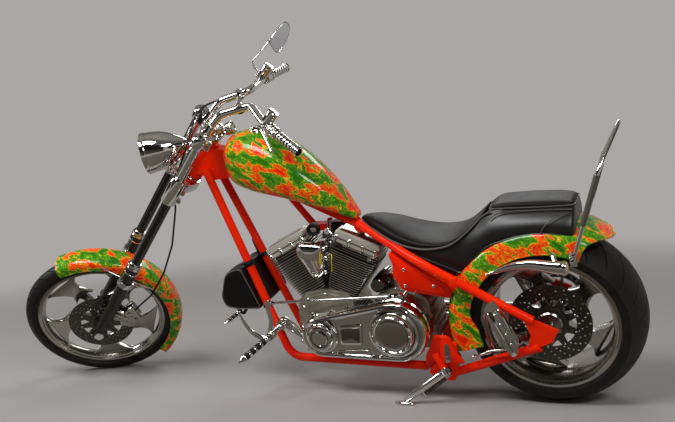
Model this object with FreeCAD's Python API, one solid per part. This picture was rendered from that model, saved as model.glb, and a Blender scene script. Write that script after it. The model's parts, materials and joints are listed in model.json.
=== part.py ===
"""Long-fork custom chopper motorcycle, parked on its side stand with the steering on its left stop.

Lengths are millimetres, angles degrees.  The machine is drawn upright and straight in three
frames and then put in place by one placement each:
  frame   origin at the rear wheel centre, X forward, Y left, Z up
  fork    origin on the steering axis, X forward, Y left, Z up along the steering axis
  row     the finished part: floor at Z = 0, X forward, Y left, origin under the middle of its box
"""
import FreeCAD, Part
import os
from math import acos, asin, atan2, cos, degrees, pi, radians, sin, sqrt, tan

V = FreeCAD.Vector

# ---------------------------------------------------------------- stance and steering
LEAN = 12.35
RAKE = 41.95
STEER = 33.3                  # left lock, and as much to the right
WHEELBASE = 2073.0            # wheels straight ahead
FORK_OFFSET = 70.0            # fork legs and front axle ahead of the steering axis
LEG_Y = 115.0                 # fork leg from the middle
RUN = 0.3                     # running gap of shafts and bearings
SEAT_GAP = 0.3                # between a soft or loose piece and what it sits on
CLEAR = 6.0                   # between pieces that move past each other
BOX_MESH = 2.0                # how finely the outer box is measured

# ---------------------------------------------------------------- wheels
REAR_R, REAR_HALF, REAR_CROWN = 327.0, 138.0, 200.0
REAR_BEAD, REAR_LIP, REAR_LIP_HALF = REAR_R - 99, REAR_R - 82, REAR_HALF - 18
FRONT_R, FRONT_HALF, FRONT_CROWN = 343.0, 45.0, 46.0
FRONT_BEAD, FRONT_LIP, FRONT_LIP_HALF = FRONT_R - 75, FRONT_R - 58, FRONT_HALF - 13
SPOKES = 5
DISC_R, DISC_T = 146.0, 5.0
REAR_DISC_Y = 92.0
FRONT_DISC_Y = 56.0
REAR_AXLE_R, FRONT_AXLE_R, AXLE_BORE_R = 12.5, 10.0, 6.0
REAR_AXLE_END, FRONT_AXLE_END = 218.0, 152.0
AXLE_SKIN = 5.0               # of the left axle plate, over the blind end of the rear axle

# ---------------------------------------------------------------- frame
TUBE_R = 17.0
BACKBONE_R = 22.0
HEAD_R, STEM_R = 33.0, 17.0
HEAD_LOW, HEAD_HIGH = 901.0, 1089.0        # along the steering axis
GUSSET_HALF = 30.0
STAY_Y = 196.0                             # rear tubes and axle plates from the middle
AXLE_PLATE_T = 14.0
PLATE_IN, PLATE_OUT, SHOE_OUT = 112.0, 136.0, 168.0    # lower frame plates and their thick feet
RAIL_Z = -173.0                            # bottom rails
CRADLE_Y = 112.0

# ---------------------------------------------------------------- engine and drive
CRANK = V(865, 0, -35)
V_HALF_ANGLE = 24.5
CYL_BASE, CYL_TOP, ROCKER_TOP = 120.0, 330.0, 396.0     # from the crank along a cylinder
CYL_R, FIN_SIDE, FIN_T, FIN_PITCH = 56.0, 76.0, 3.5, 10.0
FIN_LOW, FIN_HIGH = 62.0, 100.0             # half length of the lowest and highest fin
CASE_HALF = 84.0
PRIMARY_IN, PRIMARY_OUT = 92.0, 196.0
CLUTCH = V(552, 0, -8)
PRIMARY_FRONT_R, PRIMARY_REAR_R = 84.0, 121.0
BELT_WIDE, BELT_T = 17.5, 8.0
BELT_IN = REAR_HALF + 4.5     # beside the rear tyre
BELT_OUT = BELT_IN + BELT_WIDE
SPROCKET_R, PULLEY_R = 48.0, 92.0
PIPE_R = 23.0


# ---------------------------------------------------------------- shape helpers
def rod(p, q, r):
    d = q - p
    return Part.makeCylinder(r, d.Length, p, d)


def block(x0, x1, y0, y1, z0, z1):
    return Part.makeBox(x1 - x0, y1 - y0, z1 - z0, V(x0, y0, z0))


def slab(outline, y0, y1):
    """A flat plate: its outline in X and Z, from y0 to y1."""
    pts = [V(x, y0, z) for x, z in outline]
    face = Part.Face(Part.makePolygon(pts + pts[:1]))
    return face.extrude(V(0, y1 - y0, 0))


def fuse(shapes):
    first, rest = shapes[0], shapes[1:]
    return first.multiFuse(rest).removeSplitter() if rest else first


def mirrored(shape):
    return shape.mirror(V(0, 0, 0), V(0, 1, 0))


def bent_path(points, radii):
    """Straight runs joined by tangent arcs; radii holds one radius for each inner point."""
    edges, start = [], points[0]
    for i in range(1, len(points) - 1):
        p, a, b = points[i], points[i - 1], points[i + 1]
        u, w = (a - p).normalize(), (b - p).normalize()
        half = acos(max(-1.0, min(1.0, u.dot(w)))) / 2
        reach = radii[i - 1] / tan(half)
        t1, t2 = p + u * reach, p + w * reach
        mid = p + (u + w).normalize() * (radii[i - 1] / sin(half) - radii[i - 1])
        if (t1 - start).Length > 1e-6:
            edges.append(Part.LineSegment(start, t1).toShape())
        edges.append(Part.Arc(t1, mid, t2).toShape())
        start = t2
    edges.append(Part.LineSegment(start, points[-1]).toShape())
    return Part.Wire(edges)


def tube(points, r, radii=()):
    """A round bar along straight runs and tangent arcs."""
    if len(points) == 2:
        return rod(points[0], points[1], r)
    path = bent_path(points, list(radii))
    ring = Part.Wire(Part.makeCircle(r, points[0], points[1] - points[0]))
    return path.makePipeShell([ring], True, True)


def turned(profile, angle=360.0, start=0.0):
    """Turn a closed profile of (radius, y) round the Y axis; start and angle run from +X to +Z."""
    pts = [V(r, y, 0) for r, y in profile]
    face = Part.Face(Part.makePolygon(pts + pts[:1]))
    solid = face.revolve(V(0, 0, 0), V(0, -1, 0), angle)
    solid.rotate(V(0, 0, 0), V(0, -1, 0), start)
    return solid


def belt_outline(c1, r1, c2, r2):
    """The outline, in X and Z, of a band stretched round two circles, as a wire at y = 0."""
    d = c2 - c1
    base = atan2(d.z, d.x)
    off = acos((r1 - r2) / d.Length)
    def at(c, r, ang):
        return V(c.x + r * cos(ang), 0, c.z + r * sin(ang))
    a1, b1 = at(c1, r1, base + off), at(c2, r2, base + off)
    a2, b2 = at(c1, r1, base - off), at(c2, r2, base - off)
    return Part.Wire([Part.LineSegment(a1, b1).toShape(),
                      Part.Arc(b1, at(c2, r2, base), b2).toShape(),
                      Part.LineSegment(b2, a2).toShape(),
                      Part.Arc(a2, at(c1, r1, base + pi), a1).toShape()])


def band(c1, r1, c2, r2, y0, y1):
    face = Part.Face(belt_outline(c1, r1, c2, r2))
    face.translate(V(0, y0, 0))
    return face.extrude(V(0, y1 - y0, 0))


# ---------------------------------------------------------------- placements
rake, steer, lean = radians(RAKE), radians(STEER), radians(LEAN)
rear_height = (REAR_R - REAR_CROWN) * cos(lean) + REAR_CROWN

# where the steered, leaning front tyre just touches the floor
axle_y = FORK_OFFSET * sin(steer)
normal_z = -sin(rake) * sin(steer) * cos(lean) - cos(steer) * sin(lean)
front_height = (FRONT_R - FRONT_CROWN) * sqrt(1 - normal_z ** 2) + FRONT_CROWN
axle_z = (front_height - rear_height + axle_y * sin(lean)) / cos(lean)
STEER_FOOT = V(WHEELBASE - FORK_OFFSET * cos(rake), 0,
               axle_z - FORK_OFFSET * cos(steer) * sin(rake))


def on_steering(t, u=0.0, y=0.0):
    """A point of the upright machine: t up the steering axis, u ahead of it, y to the left."""
    return STEER_FOOT + V(u * cos(rake) - t * sin(rake), y, u * sin(rake) + t * cos(rake))


def turn(axis, angle):
    return FreeCAD.Placement(V(0, 0, 0), FreeCAD.Rotation(axis, angle))


def shift(p):
    return FreeCAD.Placement(p, FreeCAD.Rotation())


PLACE_FRAME = shift(V(0, 0, rear_height)).multiply(turn(V(1, 0, 0), -LEAN))
PLACE_FORK = (PLACE_FRAME.multiply(shift(STEER_FOOT)).multiply(turn(V(0, 1, 0), -RAKE))
              .multiply(turn(V(0, 0, 1), STEER)))


# ---------------------------------------------------------------- frame weldment
def make_backbone():
    low, high = on_steering(HEAD_LOW), on_steering(HEAD_HIGH)
    head = rod(low, high, HEAD_R)
    a, b = on_steering(HEAD_LOW + 22), on_steering(HEAD_HIGH - 26)
    gusset = slab([(a.x, a.z), (HEAD.x - 117, HEAD.z - 23), (HEAD.x - 198, HEAD.z - 17),
                   (HEAD.x - 193, HEAD.z + 95), (b.x, b.z)], -GUSSET_HALF, GUSSET_HALF)
    spine = rod(SPINE_TOP, BACKBONE_END, BACKBONE_R)
    foot = block(CRANK.x - 30, CRANK.x + 50, -22, 22, 352, 378)
    hanger = rod(BACKBONE_END + (SPINE_TOP - BACKBONE_END) * 0.576, V(CRANK.x + 40, 0, 372), 14)
    cross = rod(V(BACKBONE_END.x, -34, BACKBONE_END.z), V(BACKBONE_END.x, 34, BACKBONE_END.z),
                BACKBONE_R)
    body = fuse([head, gusset, spine, hanger, foot, cross])
    return body.cut(rod(on_steering(HEAD_LOW - 5), on_steering(HEAD_HIGH + 5), STEM_R))


BACKBONE_END = V(698, 0, 364)
HEAD = on_steering(HEAD_LOW)
SPINE_TOP = HEAD + V(-179, 0, 29)
TANK_SETBACK = 197.5                       # the tank's front section behind the steering head


def along_tank(share, z):
    """A point over the backbone: share 0 is its rear end, 1 the tank's front section."""
    return V(BACKBONE_END.x + share * (HEAD.x - TANK_SETBACK - BACKBONE_END.x), 0, z)


DOWN_TOP, DOWN_LOW = V(HEAD.x - 88.6, 44, HEAD.z + 29), V(CRANK.x + 240.2, 84, -60)
RAIL_END = V(470, 115, RAIL_Z - 4)
STAY_START, STAY_END = V(372, 154, -186), V(22, STAY_Y, -42)
UPPER = [V(700, 28, 376), V(430, 172, 268), V(40, STAY_Y, 56)]


def make_downtube():
    return rod(DOWN_TOP, DOWN_LOW, TUBE_R)


def make_lower_rail():
    drop = (RAIL_Z - DOWN_LOW.z) / (DOWN_LOW.z - DOWN_TOP.z)
    corner = DOWN_LOW + (DOWN_LOW - DOWN_TOP) * drop
    return tube([DOWN_LOW, corner, RAIL_END], TUBE_R, [78])


def make_upper_rail():
    return tube(UPPER, TUBE_R - 1, [420])


def make_rear_stay():
    plate = slab([(428, -47), (383, -49), (334, -128), (352, -206), (428, -206), (472, -158),
                  (462, -115), (440, -80)], PLATE_IN, PLATE_OUT)
    shoe = slab([(336, -136), (352, -206), (428, -206), (450, -172), (400, -118)],
                PLATE_IN, SHOE_OUT)
    stay = rod(STAY_START, STAY_END, TUBE_R - 0.5)
    dropout = slab([(72, 68), (30, 56), (-44, 22), (-20, -22), (40, -48), (66, -56), (50, 6)],
                   STAY_Y - AXLE_PLATE_T / 2, STAY_Y + AXLE_PLATE_T / 2)
    return fuse([plate, shoe, stay, dropout])


# ---------------------------------------------------------------- tanks, seat, fender
def rounded_section(x, half, low, high, shoulder=0.5):
    """A closed section across the machine: flat bottom, rounded sides, one arc over the top."""
    mid = low + shoulder * (high - low)
    foot = 0.66 * half
    pts = {"l": V(x, half, mid), "t": V(x, 0, high), "r": V(x, -half, mid),
           "br": V(x, -foot, low), "bl": V(x, foot, low)}
    side = V(x, 0.92 * half, low + 0.42 * (mid - low))
    return Part.Wire([Part.Arc(pts["l"], pts["t"], pts["r"]).toShape(),
                      Part.Arc(pts["r"], V(side.x, -side.y, side.z), pts["br"]).toShape(),
                      Part.LineSegment(pts["br"], pts["bl"]).toShape(),
                      Part.Arc(pts["bl"], side, pts["l"]).toShape()])


# columns: share of the tank's way along the backbone, half width, bottom, top
TANK_SECTIONS = [(1.0, 48, 622, 728), (0.9215, 96, 572, 772), (0.7493, 124, 540, 778),
                 (0.5289, 126, 512, 732), (0.3196, 108, 476, 640), (0.1474, 76, 434, 528),
                 (0.0262, 38, 398, 428)]


def make_fuel_tank():
    rows = [(along_tank(share, 0).x, half, low, high) for share, half, low, high in TANK_SECTIONS]
    tank = Part.makeLoft([rounded_section(*row) for row in rows], True, False)
    cap = rod(along_tank(0.7204, 765), along_tank(0.7287, 790), 32)
    tank = fuse([tank, cap])
    gap = BACKBONE_R + 2
    start, end = HEAD + V(-169, 0, 34), BACKBONE_END - V(5, 0, 2)
    channel = rod(start, end, gap)
    below = slab([(start.x, start.z), (end.x, end.z), (end.x, end.z - 90), (start.x, start.z - 90)],
                 -gap, gap)
    nose = block(HEAD.x - 204, HEAD.x - 159, -34, 34, HEAD.z - 51, HEAD.z + 129)
    return tank.cut(channel).cut(below).cut(nose)


def make_oil_tank():
    outline = [(556, 298), (345, 168), (330, 150), (332, 114), (517, 146), (551, 211), (540, 240)]
    around_fender = turned([(0, -200), (FENDER_TOP + 3, -200), (FENDER_TOP + 3, 200), (0, 200)])
    return slab(outline, -148, 148).cut(around_fender)


# columns: x, half width, lip height, crown height
SEAT_SECTIONS = [(676, 26, 388, 402), (615, 72, 361, 395), (520, 120, 323, 366),
                 (410, 132, 300, 330), (325, 130, 312, 330), (262, 112, 350, 364),
                 (205, 84, 396, 412)]


def cushion_section(x, half, low, high):
    """A flat-bottomed pad section with short upright edges and a shallow crown."""
    edge = low + 0.45 * (high - low)
    return Part.Wire([Part.Arc(V(x, half, edge), V(x, 0, high), V(x, -half, edge)).toShape(),
                      Part.LineSegment(V(x, -half, edge), V(x, -half + 6, low)).toShape(),
                      Part.LineSegment(V(x, -half + 6, low), V(x, half - 6, low)).toShape(),
                      Part.LineSegment(V(x, half - 6, low), V(x, half, edge)).toShape()])


def make_seat_pad():
    return Part.makeLoft([cushion_section(*row) for row in SEAT_SECTIONS], True, True)


PAD_BASE = 426.0
# columns: x, half width, height
PAD_SECTIONS = [(160, 62, 10), (110, 74, 21), (0, 76, 23), (-80, 72, 21), (-116, 58, 10)]


def make_passenger_pad():
    rings = [cushion_section(x, half, PAD_BASE, PAD_BASE + rise) for x, half, rise in PAD_SECTIONS]
    return Part.makeLoft(rings, True, True)


def make_seat_pan():
    top = PAD_BASE - SEAT_GAP
    hump = [V(0, 134, 330), V(0, 72, top), V(0, -72, top), V(0, -134, 330)]
    face = Part.Face(Part.makePolygon(hump + hump[:1]))
    face.translate(V(-116, 0, 0))
    base = face.extrude(V(304, 0, 0))
    under_pad = [(x, low - SEAT_GAP) for x, half, low, high in SEAT_SECTIONS[1:]]
    skirt = slab(under_pad + [(176, 400), (176, 340), (300, 214), (430, 262), (600, 334)], -118, 118)
    base = base.cut(slab([(x, z) for x, z in under_pad] + [(205, 500), (615, 500)], -200, 200))
    return fuse([base, skirt])


FENDER_ARC = (-16.0, 128.0)
FENDER_EDGE, FENDER_SIDE, FENDER_TOP, FENDER_HALF, FENDER_T = 280.0, 338.0, 377.0, 152.0, 4.0


def make_rear_fender():
    h, t = FENDER_HALF, FENDER_T
    outer = [(FENDER_EDGE, h), (FENDER_SIDE, h), (FENDER_TOP - 12, 0.68 * h), (FENDER_TOP, 0.28 * h)]
    inner = [(FENDER_EDGE, h - t), (FENDER_SIDE - t, h - t), (FENDER_TOP - 12 - t, 0.66 * h),
             (FENDER_TOP - t, 0.27 * h)]
    profile = (outer + [(r, -y) for r, y in reversed(outer)]
               + [(r, -y) for r, y in inner] + list(reversed(inner)))
    return turned(profile, FENDER_ARC[1] - FENDER_ARC[0], FENDER_ARC[0])


def make_fender_struts():
    """On each side an arm along the fender's edge that ends in a turn lamp."""
    y0 = FENDER_HALF
    arm = tube([V(200, y0 + 9, 216), V(119, y0 + 10, 240), V(25, y0 + 18, 254), V(-20, y0 + 30, 250)],
               11, [200, 300])
    lamp = rod(V(-10, y0 + 30, 248), V(-90, y0 + 30, 243), 25)
    stalk = rod(V(-50, y0, 283), V(-50, y0 + 30, 255), 8)
    inside = block(-FENDER_TOP, FENDER_TOP, 0, y0, 0, FENDER_TOP)
    left = fuse([arm, lamp, stalk]).cut(inside)
    return Part.makeCompound([left, mirrored(left)])


def make_sissy_bar():
    foot, shoulder, apex = V(-106, 168.5, 256), V(-205, 150, 560), V(-276, 0, 700)
    pts = [foot, shoulder, apex, V(shoulder.x, -shoulder.y, shoulder.z), V(foot.x, -foot.y, foot.z)]
    return tube(pts, 7.5, [120, 40, 120])


# ---------------------------------------------------------------- engine
def make_crankcase():
    case = slab([(772, 108), (958, 108), (1000, 60), (1000, -90), (950, -152), (780, -152),
                 (735, -90), (735, 40)], -CASE_HALF, CASE_HALF)
    cam = Part.makeCylinder(96, 34, CRANK + V(0, -CASE_HALF, 20), V(0, -1, 0))
    return fuse([case, cam])


def fin(half_x, half_y, thick, z):
    """A flat plate across the cylinder with its corners taken off."""
    c = 0.3 * half_y
    pts = [V(half_x, half_y - c, z), V(half_x - c, half_y, z), V(c - half_x, half_y, z),
           V(-half_x, half_y - c, z), V(-half_x, c - half_y, z), V(c - half_x, -half_y, z),
           V(half_x - c, -half_y, z), V(half_x, c - half_y, z)]
    return Part.Face(Part.makePolygon(pts + pts[:1])).extrude(V(0, 0, thick))


def make_cylinder(side):
    """One finned cylinder with its head and rocker box; side is +1 for the front one."""
    parts = [Part.makeCylinder(CYL_R, CYL_TOP - CYL_BASE, V(0, 0, CYL_BASE))]
    count = int((CYL_TOP - CYL_BASE - 40) / FIN_PITCH)
    for i in range(count):
        parts.append(fin(FIN_LOW + (FIN_HIGH - FIN_LOW) * i / (count - 1), FIN_SIDE, FIN_T,
                         CYL_BASE + 36 + i * FIN_PITCH))
    parts.append(fin(FIN_HIGH - 2, FIN_SIDE - 12, ROCKER_TOP - CYL_TOP + 6, CYL_TOP - 6))
    body = fuse(parts)
    body.rotate(V(0, 0, 0), V(0, 1, 0), side * V_HALF_ANGLE)
    body.translate(CRANK)
    keep = block(2, 400, -200, 200, -100, 600) if side > 0 else block(-400, -2, -200, 200, -100, 600)
    keep.translate(CRANK)
    return body.common(keep)


def make_horn_cover():
    shell = slab([(958, 282), (936, 330), (838, 320), (844, 206), (896, 180)], 84, 124)
    stalk = block(846, 884, 26, 86, 300, 320)
    return fuse([shell, stalk])


def make_air_cleaner():
    can = Part.makeCylinder(78, 52, V(865, -128, 262), V(0, -1, 0))
    throat = Part.makeCylinder(26, 100, V(865, -30, 262), V(0, -1, 0))
    return fuse([can, throat])


def make_primary_cover():
    cover = band(V(CRANK.x, 0, CRANK.z), PRIMARY_FRONT_R, CLUTCH, PRIMARY_REAR_R,
                 PRIMARY_IN, PRIMARY_OUT)
    parts = [cover]
    for centre, r, depth in ((CLUTCH, 79, 26), (CRANK, 64, 22)):
        parts.append(Part.makeCylinder(r, depth, V(centre.x, PRIMARY_OUT, centre.z), V(0, 1, 0)))
    return fuse(parts)


def make_transmission():
    box = block(438, 664, -104, 90, -118, 110)
    shaft = rod(V(CLUTCH.x, -100, CLUTCH.z), V(CLUTCH.x, -BELT_OUT, CLUTCH.z), 20)
    pulley = Part.makeCylinder(SPROCKET_R, BELT_OUT - BELT_IN, V(CLUTCH.x, -BELT_IN, CLUTCH.z),
                               V(0, -1, 0))
    return fuse([box, shaft, pulley])


def make_drive_belt():
    rear, front = V(0, 0, 0), CLUTCH
    outer = band(rear, PULLEY_R + BELT_T, front, SPROCKET_R + BELT_T, -BELT_OUT, -BELT_IN)
    inner = band(rear, PULLEY_R + RUN, front, SPROCKET_R + RUN, -BELT_OUT - 1, -BELT_IN + 1)
    return outer.cut(inner)


def make_exhaust():
    front = tube([V(1052, -57, 262), V(1080, -152, 244), V(958, -172, -100), V(170, -252, -150)],
                 PIPE_R, [45, 110])
    rear = tube([V(664, -57, 262), V(626, -152, 250), V(604, -196, 60), V(500, -206, -74),
                 V(190, -254, -98)], PIPE_R, [45, 200, 110])
    pipes = []
    for pipe, end, way in ((front, V(170, -252, -150), V(-788, -80, -50)),
                           (rear, V(190, -254, -98), V(-310, -48, -24))):
        way.normalize()
        pipes.append(pipe.cut(rod(end - way * 120, end + way * 20, PIPE_R - 3)))
    return pipes


# ---------------------------------------------------------------- foot controls, bag, small frame pieces
def make_foot_control():
    plate = slab([(1084, -2), (1058, 12), (972, -86), (992, -108)], 96, 112)
    arm = rod(V(1076, 104, -18), V(1076, 226, -24), 13)
    peg = rod(V(1080, 222, -24), V(1112, 348, -40), 15)
    toe = tube([V(1084, 238, -20), V(1150, 240, 14), V(1188, 242, 94)], 7, [60])
    toe_peg = rod(V(1186, 236, 92), V(1196, 322, 88), 9)
    return fuse([plate, arm, peg, toe, toe_peg])


def make_passenger_pegs():
    """Each peg is folded up flat against the rail and the stay."""
    y0 = STAY_Y + TUBE_R + 1
    peg = slab([(168, 140), (197, 108), (190, 92), (126, -66), (102, -70), (88, -4)], y0, y0 + 24)
    feet = [rod(V(x, y0 - inward, z), V(x, y0 + 4, z), 12) for x, z, inward in
            ((178, 118, 9), (112, -66, 16))]
    rod_end = rod(V(252, y0 - 18, -100), V(126, y0 + 8, -58), 5)
    left = fuse([peg] + feet + [rod_end])
    return Part.makeCompound([left, mirrored(left)])


def make_tool_bag():
    way = (DOWN_LOW - DOWN_TOP)
    slope = way.x / way.z
    off = (TUBE_R + SEAT_GAP) * sqrt(1 + slope ** 2) + 0.2
    def behind(z):
        return DOWN_TOP.x + (z - DOWN_TOP.z) * slope + off
    ahead = [(171.7, 98), (105.6, 198), (55.3, 224), (0, 232), (0, 44), (115.4, 40), (171.1, 50)]
    return slab([(behind(z) + reach, z) for reach, z in ahead], -150, 108)


def make_rear_caliper():
    grip = slab([(150, -40), (78, -20), (60, -74), (118, -118)], 78, 128)
    slot_half = DISC_T / 2 + 2.5
    gap = Part.makeCylinder(DISC_R + 3, 2 * slot_half, V(0, REAR_DISC_Y - slot_half, 0), V(0, 1, 0))
    arm = slab([(110, -30), (78, -22), (-18, 12), (-18, -16), (20, -24)], 116, 128)
    return fuse([grip, arm]).cut(gap).cut(rod(V(0, 0, 0), V(0, 200, 0), REAR_AXLE_R))


def make_rear_axle():
    """Open on the right, blind inside the left axle plate."""
    face = -STAY_Y - AXLE_PLATE_T / 2
    axle = rod(V(0, -REAR_AXLE_END, 0), V(0, -face - AXLE_SKIN, 0), REAR_AXLE_R)
    nut = rod(V(0, face, 0), V(0, face - 12, 0), 21)
    return fuse([axle, nut]).cut(rod(V(0, -REAR_AXLE_END, 0), V(0, STAY_Y - AXLE_SKIN, 0), AXLE_BORE_R))


# ---------------------------------------------------------------- fork, bars and lamp (fork frame)
AXLE = V(FORK_OFFSET, 0, 0)
SLIDER_R, FORK_TUBE_R = 29.0, 21.0
SLIDER_LOW, SLIDER_TOP = -34.0, 430.0
COLLAR_R = 32.0
LOW_CLAMP = (HEAD_LOW - 49, HEAD_LOW - 5)       # along the steering axis, as all heights here
LOW_COLLAR = (804.0, 930.0)
TOP_CLAMP = (HEAD_HIGH + 5, HEAD_HIGH + 49)
FORK_TOP = TOP_CLAMP[1] + 8


def make_fork_leg():
    slider = rod(V(FORK_OFFSET, LEG_Y, SLIDER_LOW), V(FORK_OFFSET, LEG_Y, SLIDER_TOP), SLIDER_R)
    inner = rod(V(FORK_OFFSET, LEG_Y, SLIDER_TOP), V(FORK_OFFSET, LEG_Y, FORK_TOP), FORK_TUBE_R)
    leg = fuse([slider, inner])
    return leg.cut(rod(V(FORK_OFFSET, LEG_Y - 50, 0), V(FORK_OFFSET, LEG_Y + 50, 0), FRONT_AXLE_R))


def clamp_plate(bridge, collar, collar_r, back, front):
    """A bridge swept out to a collar round each leg; both are given as (low, high)."""
    half = [(-back, 34), (FORK_OFFSET - 30, LEG_Y), (FORK_OFFSET + 24, LEG_Y), (front, 40)]
    pts = [V(u, y, bridge[0]) for u, y in half] + [V(u, -y, bridge[0]) for u, y in reversed(half)]
    plate = Part.Face(Part.makePolygon(pts + pts[:1])).extrude(V(0, 0, bridge[1] - bridge[0]))
    legs = [V(FORK_OFFSET, y, 0) for y in (-LEG_Y, LEG_Y)]
    up = V(0, 0, 1)
    collars = [rod(leg + up * collar[0], leg + up * collar[1], collar_r) for leg in legs]
    plate = fuse([plate] + collars)
    for leg in legs:
        plate = plate.cut(rod(leg + up * (collar[0] - 5), leg + up * (collar[1] + 5), FORK_TUBE_R))
    return plate


def make_lower_clamp():
    stem = rod(V(0, 0, LOW_CLAMP[1] - 5), V(0, 0, TOP_CLAMP[0]), STEM_R - RUN)
    return fuse([clamp_plate(LOW_CLAMP, LOW_COLLAR, COLLAR_R, 34, 46), stem])


def make_top_clamp():
    return clamp_plate(TOP_CLAMP, TOP_CLAMP, COLLAR_R, 28, 60)


def make_headlight():
    """A long bullet shell: its axis points ahead and level in the parked machine."""
    profile = [(0, 0), (84, 0), (84, -16), (80, -20), (80, -60), (64, -110), (42, -150),
               (18, -182), (0, -200)]
    shell = turned([(r, -y) for r, y in profile])
    shell.rotate(V(0, 0, 0), V(0, 0, 1), 90)
    shell.rotate(V(0, 0, 0), V(0, 1, 0), 40.7)
    shell.translate(V(217, 0, LOW_CLAMP[1] + 17))
    bracket = block(HEAD_R + 7, 122, -14, 14, LOW_CLAMP[1], LOW_CLAMP[1] + 44)
    return fuse([shell, bracket])


BAR_R = 16.0
BAR_PATH = [V(48, 56, TOP_CLAMP[1]), V(34, 56, 1236), V(-54, 64, 1328), V(-103, 184, 1336),
            V(-220, 352, 1368)]
BAR_BORE_R, BAR_BORE_DEPTH = 9.0, 45.0
GRIP_R, BAR_SHOWS = 19.5, 4.0              # the bar's end stands out of the grip


def make_handlebar():
    left = tube(BAR_PATH, BAR_R, [60, 44, 90])
    end, way = BAR_PATH[-1], (BAR_PATH[-1] - BAR_PATH[-2]).normalize()
    left = left.cut(rod(end - way * BAR_BORE_DEPTH, end, BAR_BORE_R))
    cross = rod(V(-22, -56, 1294), V(-22, 56, 1294), 12)
    return fuse([left, mirrored(left), cross])


def make_grip():
    """Grip, perch and lever of the left side."""
    root, end = BAR_PATH[-2], BAR_PATH[-1]
    along = (end - root).normalize()
    grip = rod(root + along * 78, end - along * BAR_SHOWS, GRIP_R)
    perch = rod(root + along * 26, root + along * 78, 25)
    lever = tube([V(-118, 210, 1342), V(-88, 218, 1340), V(-135, 336, 1319)], 6, [14])
    reservoir = rod(V(-104, 196, 1350), V(-108, 196, 1406), 23)
    body = fuse([grip, perch, lever, reservoir])
    return body.cut(rod(root - along * 20, end, BAR_R))


def make_mirror():
    base, elbow, centre = V(-116, -225, 1362), V(-46, -228, 1392), V(-111, -310, 1493)
    long_way, face_way = V(-0.112, -0.463, 0.879), V(-0.277, 0.864, 0.42)
    glass = Part.Ellipse(V(0, 0, 0), 74, 41).toShape()
    plate = Part.Face(Part.Wire(glass)).extrude(V(0, 0, 9))
    plate.Placement = FreeCAD.Placement(centre, FreeCAD.Rotation(long_way, V(), face_way, "ZXY"))
    stem = tube([base, elbow, centre + face_way * 4 - long_way * 50], 4.5, [16])
    return fuse([plate, stem])


FRONT_FENDER = dict(edge=FRONT_R - 28, side=FRONT_R + 7, top=FRONT_R + 24, half=FRONT_HALF + 16, t=4.0,
                    start=37.0, end=196.0)


def make_front_fender():
    f = FRONT_FENDER
    h, t = f["half"], f["t"]
    outer = [(f["edge"], h), (f["side"], h), (f["top"], 0.45 * h)]
    inner = [(f["edge"], h - t), (f["side"] - t, h - t), (f["top"] - t, 0.43 * h)]
    profile = (outer + [(r, -y) for r, y in reversed(outer)]
               + [(r, -y) for r, y in inner] + list(reversed(inner)))
    shell = turned(profile, f["end"] - f["start"], f["start"])
    shell.translate(AXLE)
    arms = []
    for s in (1, -1):
        y0, y1 = sorted((s * (h - t / 2), s * (LEG_Y - 20)))
        arms.append(block(FORK_OFFSET - 12, FORK_OFFSET + 12, y0, y1, f["edge"] + 8, f["edge"] + 30))
    return fuse([shell] + arms)


def make_front_caliper():
    grip = slab([(20, 92), (-16, 170), (-78, 120), (-66, 52), (-10, 40)], 34, 84)
    slot_half = DISC_T / 2 + 2.5
    gap = Part.makeCylinder(DISC_R + 3, 2 * slot_half, AXLE + V(0, FRONT_DISC_Y - slot_half, 0),
                            V(0, 1, 0))
    lug = block(0, 60, 66, LEG_Y - 10, 84, 120)
    return fuse([grip, lug]).cut(gap)


# the front brake's hose, from the right lever past the lamp and down behind the left leg
HOSE_R = 4.0
HOSE_ROUTE = [V(-124, -212, 1321), V(-114, -206, 1296), V(-72, -134, 1297), V(-34, -92, 1286),
              V(34, -90, 1222), V(88, -84, 1162), V(98, -46, 1122), V(90, 62, 1012), V(72, 62, 860),
              V(14, 54, 740), V(-46, 62, 560), V(-70, 76, 410), V(-70, 78, 270), V(-38, 70, 150)]
HOSE_BENDS = [20, 60, 60, 90, 90, 80, 80, 90, 180, 180, 160, 90]


def make_brake_hose():
    return tube(HOSE_ROUTE, HOSE_R, HOSE_BENDS)


def make_front_axle():
    end, face = V(0, FRONT_AXLE_END, 0), LEG_Y + SLIDER_R
    axle = rod(AXLE - end, AXLE + end, FRONT_AXLE_R)
    nuts = [rod(AXLE + V(0, s * face, 0), AXLE + V(0, s * (face + 8), 0), 17) for s in (1, -1)]
    return fuse([axle] + nuts).cut(rod(AXLE - end, AXLE + end, AXLE_BORE_R))


# ---------------------------------------------------------------- wheels, turned about their own Y axis
def make_tyre(r, half, crown, bead, lip_half):
    """Tread on one arc, round shoulders and sidewalls down to the bead."""
    edge = 0.93 * half
    shoulder_r = r - crown + sqrt(crown ** 2 - edge ** 2)
    wall = V(bead + 0.45 * (shoulder_r - bead), half, 0)
    foot = V(bead, lip_half - 6, 0)
    def flip(p):
        return V(p.x, -p.y, 0)
    top, edge_p = V(r, 0, 0), V(shoulder_r, edge, 0)
    wire = Part.Wire([Part.Arc(edge_p, top, flip(edge_p)).toShape(),
                      Part.Arc(flip(edge_p), flip(wall), flip(foot)).toShape(),
                      Part.LineSegment(flip(foot), foot).toShape(),
                      Part.Arc(foot, wall, edge_p).toShape()])
    return Part.Face(wire).revolve(V(0, 0, 0), V(0, 1, 0), 360)


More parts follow.
